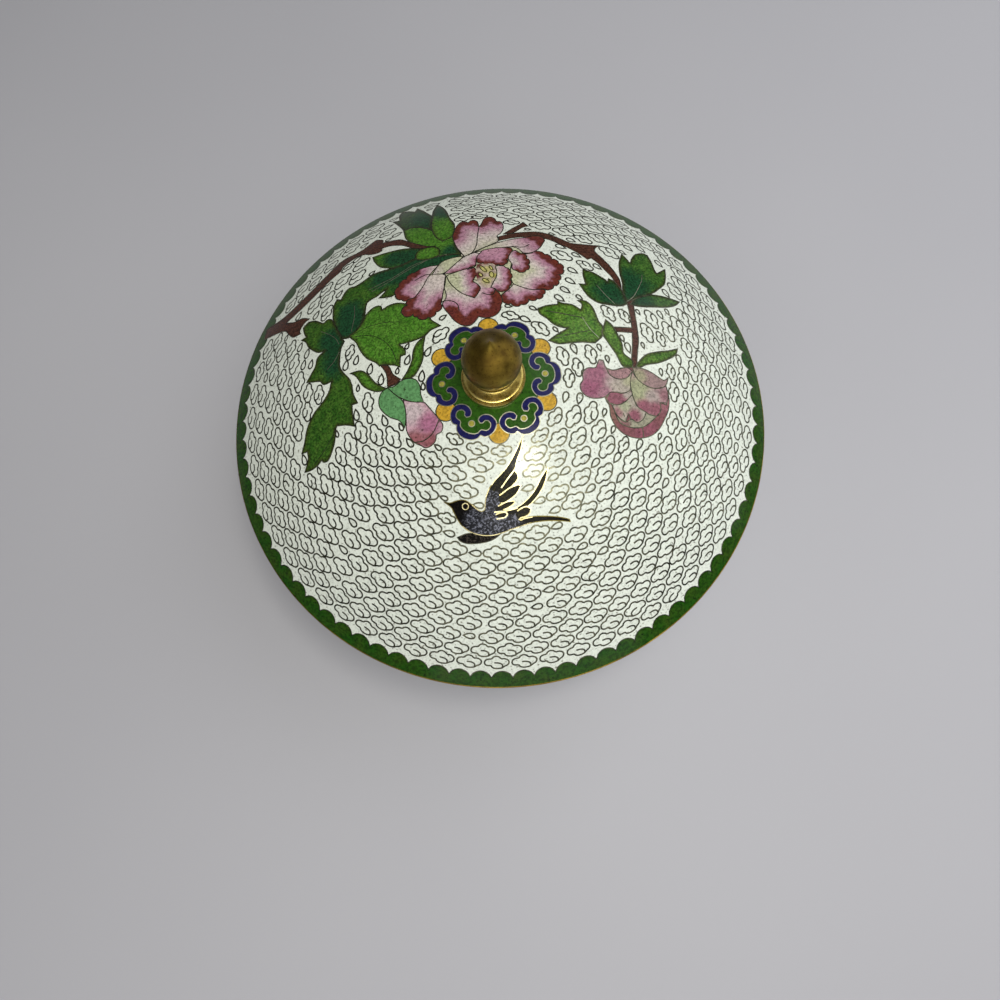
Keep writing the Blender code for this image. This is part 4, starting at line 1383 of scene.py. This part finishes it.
LID_BORDER = (114.6, 111.6, 82)      # plan radii of the lobes' cusps and tops, and their count
LID_CLOUDS = (107.6, 27.0)           # plan radii between which the rings of clouds lie
BOWL_BORDER = (4.5, 7.5)             # cusps and tops, in from the mouth
BOWL_LOBES = 78
FOOT_BORDER = (3.5, 6.8)             # cusps and tops, out from the foot ring
FOOT_LOBES = 44
CLOUD_MARGINS = (11.5, 10.0)         # room for the borders at the mouth and at the foot
UNDERSIDE = 3.6                      # how far in from the foot ring the plain underside begins
WIRE_STYLES = {               # half width, material and section, where it isn't the flat strip
    "flower": (0.22, shaded_wire),
    "leaf": (0.21, shaded_wire),
    "dusk": (0.16, shaded_wire),
    "border": (0.22, shaded_wire),
    "vein": (0.14, pale_wire),
    "vein_dark": (0.13, shaded_wire),
    "gold": (0.25, gold_wire),
    "fine_gold": (0.17, gold_wire),
    "stamen": (0.20, olive_wire),
    "olive": (0.17, olive_wire),
    "collar": (0.17, pale_wire),
    "cloud": (0.31, shaded_wire, KEEL),
}
GROUP_LOOK = {                # material and record slot
    "ground": (white_enamel, "white_enamel"),
    "border": (green_enamel, "green_enamel"),
    "foot_border": (green_enamel, "green_enamel"),
    "bird": (speckled_enamel, "picture_enamel"),
    "left_leaves": (leaf_enamel, "picture_enamel"),
    "right_leaves": (leaf_enamel, "picture_enamel"),
    "branches": (leaf_enamel, "picture_enamel"),
}
DETAIL = {                    # spacing of mesh points by group
    "peony": 0.8, "bird": 0.6, "right_bud": 0.8, "left_bud": 0.9, "left_sepals": 1.2,
    "collar": 0.9, "left_leaves": 0.9, "right_leaves": 0.9, "branches": 1.2, "border": 2.4,
}


def build_drawing(prefix, drawing, coarse, clouds, replaced):
    """All the enamel slabs and wires of one drawing."""
    drawing.cut(DETAIL, coarse)
    for group in dict.fromkeys(field.group for field in drawing.fields):
        material, slot = GROUP_LOOK.get(group, (picture_enamel, "picture_enamel"))
        piece = enamel_slab(f"{prefix}_{group}", drawing, group, material)
        dress(piece, slot, *(replaced if group == "ground" else ()))
    lines = drawing.seams()
    for kind, line, closed in drawing.threads:
        lines.setdefault(kind, []).append((line, closed))
    lines["cloud"] = clouds
    for kind, found in lines.items():
        piece = wires(f"{prefix}_{kind}_wires", drawing.skin, found, *WIRE_STYLES[kind])
        dress(piece, "cell_wire")


def bordered(skin, cusp, top, lobes, steps):
    """A drawing with a white ground in a green scalloped border."""
    drawing = Drawing(skin)
    drawing.field("border", circle(skin.edge, steps), green_border)
    drawing.field("ground", scallops(cusp, top, lobes), plain(WHITE, 0.03, 6.0), "border")
    drawing.motif_from = 2
    return drawing


def make_lid():
    """The dome with its picture, and the copper body under the enamel."""
    skin = lid_skin()
    drawing = bordered(skin, *LID_BORDER, steps=492)
    draw_left_spray(drawing)
    draw_right_spray(drawing)
    draw_peony(drawing)
    draw_collar(drawing)
    draw_bird(drawing)
    places = cloud_rows(skin, *LID_CLOUDS, seed=7)
    clouds = cloud_lines(drawing, places, up=-1, seed=8, fine=36, hook=8)
    build_drawing("lid", drawing, 2.6, clouds, ("lid_shell",))
    profile = []
    for depth, way in ((ENAMEL, 1), (WALL, -1)):
        radius = DOME_SPHERE - depth
        slope = math.degrees(math.acos((lid_low.z - DOME_CENTRE) / radius))
        profile += arc(radius, DOME_CENTRE, 0.0, slope, 39)[::way]
    dress(lathe("lid_lining", profile, 160, lining), "lining_enamel")


def make_bowl():
    """The bowl: white cloud ground with green borders at the mouth and the foot."""
    skin = bowl_skin()
    mouth = skin.edge
    neck = float(np.interp(foot_high.x, skin.radii, skin.reach)) + 1.0
    cusp, top = BOWL_BORDER
    drawing = bordered(skin, mouth - cusp, mouth - top, BOWL_LOBES, steps=480)
    cusp, top = FOOT_BORDER
    foot = scallops(neck + cusp, neck + top, FOOT_LOBES, 10)
    drawing.field("foot_border", foot, green_border, "border")
    drawing.field("base", circle(neck - UNDERSIDE, 160), plain(TURQUOISE, 0.12, 6.0), None)
    first, last = CLOUD_MARGINS
    places = cloud_rows(skin, mouth - first, neck + last, seed=17)
    clouds = cloud_lines(drawing, places, up=1, seed=18, fine=30, hook=6)
    build_drawing("bowl", drawing, 2.4, clouds, ("bowl_shell",))
    across = [(rho, 0.0) for rho in np.linspace(mouth, 0.0, 70)]
    outside = skin.place(across, -ENAMEL)[:-1]
    profile = [(r, min(z, skin.heights[-1])) for r, _, z in outside]
    profile.append((0.0, bowl_low.z + ENAMEL))
    profile += zip(*bowl_curve(bowl_high.x - WALL, bowl_low.z + WALL, 60))
    dress(lathe("bowl_lining", profile, 200, lining), "lining_enamel")


# ---------------------------------------------------------------- brass

KNOB_RADIUS = 10.6
KNOB_CENTRE = 14.7            # below the tip of the finial
KNOB_SHOULDER = 34.0          # degrees from straight up where the knob's point begins
BEAD = 0.8                    # radius of the bead's round edge
BEAD_OUT = 7.8                # distance of that edge's centre from the axis
BEAD_HEIGHT = 8.7             # below the knob's centre
WAIST = 6.4                   # radius of the finial's waist
COLLAR_HEIGHT = 12.6          # below the knob's centre
SEAT_LIP = 0.6                # width of the seat's raised lip
SEAT_SINK = 0.5               # depth of the dish within it
BREAK = 0.3                   # break of a band's edges
LID_BAND_FOOT = 78.6          # height of the lid band's lower edge
FLANGE = 106.6                # radius of the flange inside the bowl's mouth
FLANGE_WALL = 1.4
RING_WALL = 2.4               # thickness of the bowl's band and of the foot ring
FOOT_FLARE = 1.9              # how much wider the foot ring is at the floor


def arc(radius, centre_height, start, end, steps, out=0.0):
    """Points of a circle out from the axis; angles in degrees, from straight up."""
    turns = [math.radians(start + (end - start) * i / steps) for i in range(steps + 1)]
    return [(out + radius * math.sin(a), centre_height + radius * math.cos(a)) for a in turns]


def bezier(corners, steps):
    """Points of a cubic curve with four corners, with its ends."""
    points = []
    for i in range(steps + 1):
        t = i / steps
        weights = ((1 - t) ** 3, 3 * t * (1 - t) ** 2, 3 * t * t * (1 - t), t**3)
        points.append(tuple(sum(w * c[k] for w, c in zip(weights, corners)) for k in (0, 1)))
    return points


def make_finial():
    """Pointed knob, bead, waist and flared collar, on its lipped seat."""
    top = finial_high.z
    foot = finial_low.z
    collar = finial_high.x
    knob_centre = top - KNOB_CENTRE
    knob = arc(KNOB_RADIUS, knob_centre, KNOB_SHOULDER, 134.0, 36)
    start = knob[0]
    fall = math.radians(KNOB_SHOULDER)
    lead = (start[0] - 3.0 * math.cos(fall), start[1] + 3.0 * math.sin(fall))
    tip = bezier([(0.0, top), (0.6, top - 2.6), lead, start], 20)
    bead_height = knob_centre - BEAD_HEIGHT
    bead = arc(BEAD, bead_height, 20.0, 160.0, 7, BEAD_OUT)
    lip = knob_centre - COLLAR_HEIGHT
    waist = bezier([(WAIST, lip + 1.9), (WAIST, lip), (7.9, lip), (collar - 0.4, lip)], 12)
    edge = [(collar - 0.1, lip - 0.1), (collar, lip - 0.4), (collar - 0.5, foot + 0.4),
            (collar - 0.9, foot), (0.0, foot)]
    finial = lathe("finial_brass", tip[:-1] + knob + bead + waist + edge, 96, brass)
    # Below the bead the finial takes the lighter brass, its painted sheen.
    finial.data.materials.append(bright_brass)
    for face in finial.data.polygons:
        face.material_index = int(face.center.z < (bead_height - BEAD) * MM)
    dress(finial, "aged_brass", "finial")
    outer = seat_high.x
    inner = outer - SEAT_LIP
    top = seat_high.z
    dish = top - SEAT_SINK
    foot = DOME_CENTRE + math.sqrt(DOME_SPHERE**2 - outer**2)
    profile = [
        (0.0, dish), (inner, dish), (inner, top - 0.15), (inner + 0.15, top),
        (outer - 0.15, top), (outer, top - 0.2), (outer, foot + 0.05), (outer - 0.3, foot),
        (0.0, foot + 0.3),
    ]
    dress(lathe("finial_seat_brass", profile, 96, bright_brass), "aged_brass", "finial_seat")


def band(out, high, low):
    """The outer side of a flat band with broken edges."""
    return [(out - BREAK, high), (out - 0.08, high - 0.1), (out, high - BREAK),
            (out, low + BREAK), (out - 0.08, low + 0.1), (out - BREAK, low)]


def make_bands():
    """Brass bands at both mouths and the foot ring, with broken edges."""
    end = rim_low.z
    inner = FLANGE - FLANGE_WALL
    profile = band(rim_high.x, rim_high.z, LID_BAND_FOOT) + [
        (FLANGE, LID_BAND_FOOT), (FLANGE, end + BREAK), (FLANGE - BREAK, end), (inner, end),
        (inner, rim_high.z),
    ]
    dress(lathe("lid_rim_brass", profile, 240, brass), "aged_brass", "lid_rim")
    inner = rim_high.x - RING_WALL
    profile = band(rim_high.x, band_high.z, band_low.z) + [(inner, band_low.z), (inner, band_high.z)]
    dress(lathe("bowl_rim_brass", profile, 240, brass), "aged_brass", "bowl_rim")
    out = foot_high.x
    neck = out - FOOT_FLARE
    inner = neck - RING_WALL
    skin = bowl_skin()
    top, inner_top = (np.interp((neck, inner), skin.radii, skin.heights) - 0.3).tolist()
    profile = bezier([(neck, top), (neck, 5.0), (neck + 0.1, 3.4), (out - 0.1, 1.6)], 10) + [
        (out, 1.2), (out, 0.6), (out - 0.18, 0.18), (out - 0.6, 0.0), (out - RING_WALL, 0.0),
        (out - RING_WALL - 0.4, 0.3), (inner, 5.0), (inner, inner_top),
    ]
    dress(lathe("foot_ring_brass", profile, 240, brass), "aged_brass", "foot_ring")


# ---------------------------------------------------------------- studio

CAMERA_PLACE = (0.0, -0.1122, 0.3749)
CAMERA_RIGHT = (0.99482, -0.09614, -0.03283)
CAMERA_UP = (0.10130, 0.96336, 0.24836)
CAMERA_BACK = (0.00775, -0.25040, 0.96811)
CAMERA_LENS = 27.04
LAMPS = [                     # name, place, aim, size, power and colour
    ("front", (0.05, -0.75, 0.75), (0, 0, 0.05), 1.3, 3.3, (1.0, 0.98, 0.95)),
    ("window", (0.68, 0.15, 0.62), (0.02, 0, 0.05), 1.2, 4.0, (0.96, 0.98, 1.0)),
]
CEILING = [                   # lamps mirrored in the lid: name, plan point, distance, size, power
    ("core", (9.5, -32.5), 0.55, 0.09, 0.60),
    ("panel", (5.0, -40.0), 0.9, 0.50, 2.8),
]
CEILING_COLOUR = (1.0, 0.97, 0.86)
FLOOR = [(-3000, -3000, 0), (3000, -3000, 0), (3000, 3000, 0), (-3000, 3000, 0)]
SKY = (                       # room light by height above the horizon
    (0.0, (0.12, 0.12, 0.115)),
    (0.45, (0.17, 0.17, 0.165)),
    (0.9, (0.22, 0.22, 0.215)),
)


def area_light(name, place, aim, size, power, colour):
    """A square soft light at a place, aimed at a point."""
    data = bpy.data.lights.new(name, "AREA")
    data.shape = "SQUARE"
    data.size = size
    data.energy = power
    data.color = colour
    lamp = bpy.data.objects.new(name, data)
    lamp.location = place
    lamp.rotation_euler = (Vector(aim) - Vector(place)).to_track_quat("-Z", "Y").to_euler()
    bpy.context.scene.collection.objects.link(lamp)


def make_studio():
    """Camera, floor and lights."""
    scene = bpy.context.scene
    scene.view_settings.view_transform = "Standard"
    data = bpy.data.cameras.new("camera")
    data.sensor_width = 36.0
    data.lens = CAMERA_LENS
    data.clip_start = 0.01
    camera = bpy.data.objects.new("camera", data)
    axes = Matrix((CAMERA_RIGHT, CAMERA_UP, CAMERA_BACK)).transposed().to_4x4()
    camera.matrix_world = Matrix.Translation(CAMERA_PLACE) @ axes
    scene.collection.objects.link(camera)
    scene.camera = camera

    paper = Look("floor_paper", Roughness=0.85)
    tones = (0.3, (0.49, 0.49, 0.54)), (0.7, (0.52, 0.52, 0.57))
    paper.drive("Base Color", paper.shades((3.0, 2.0, 0.5), *tones))
    floor = add_mesh("floor", FLOOR, [(0, 1, 2, 3)], paper.material)

    skin = lid_skin()
    for name, spot, distance, size, power in CEILING:
        point = Vector(skin.place([spot])[0] * MM)
        normal = Vector(skin.outward(np.array([spot]))[0])
        view = (Vector(CAMERA_PLACE) - point).normalized()
        away = (2 * normal.dot(view) * normal - view).normalized()
        area_light(name, point + away * distance, point, size, power, CEILING_COLOUR)
    for lamp in LAMPS:
        area_light(*lamp)
    world = bpy.data.worlds.new("studio")
    world.use_nodes = True
    tree = world.node_tree
    sky = node(tree, "ShaderNodeTexCoord")
    split = node(tree, "ShaderNodeSeparateXYZ")
    tree.links.new(sky.outputs["Generated"], split.inputs["Vector"])
    colour = ramp(tree, split.outputs["Z"], *SKY)
    tree.links.new(colour, tree.nodes["Background"].inputs["Color"])
    scene.world = world


make_lid()
make_bowl()
make_finial()
make_bands()
make_studio()
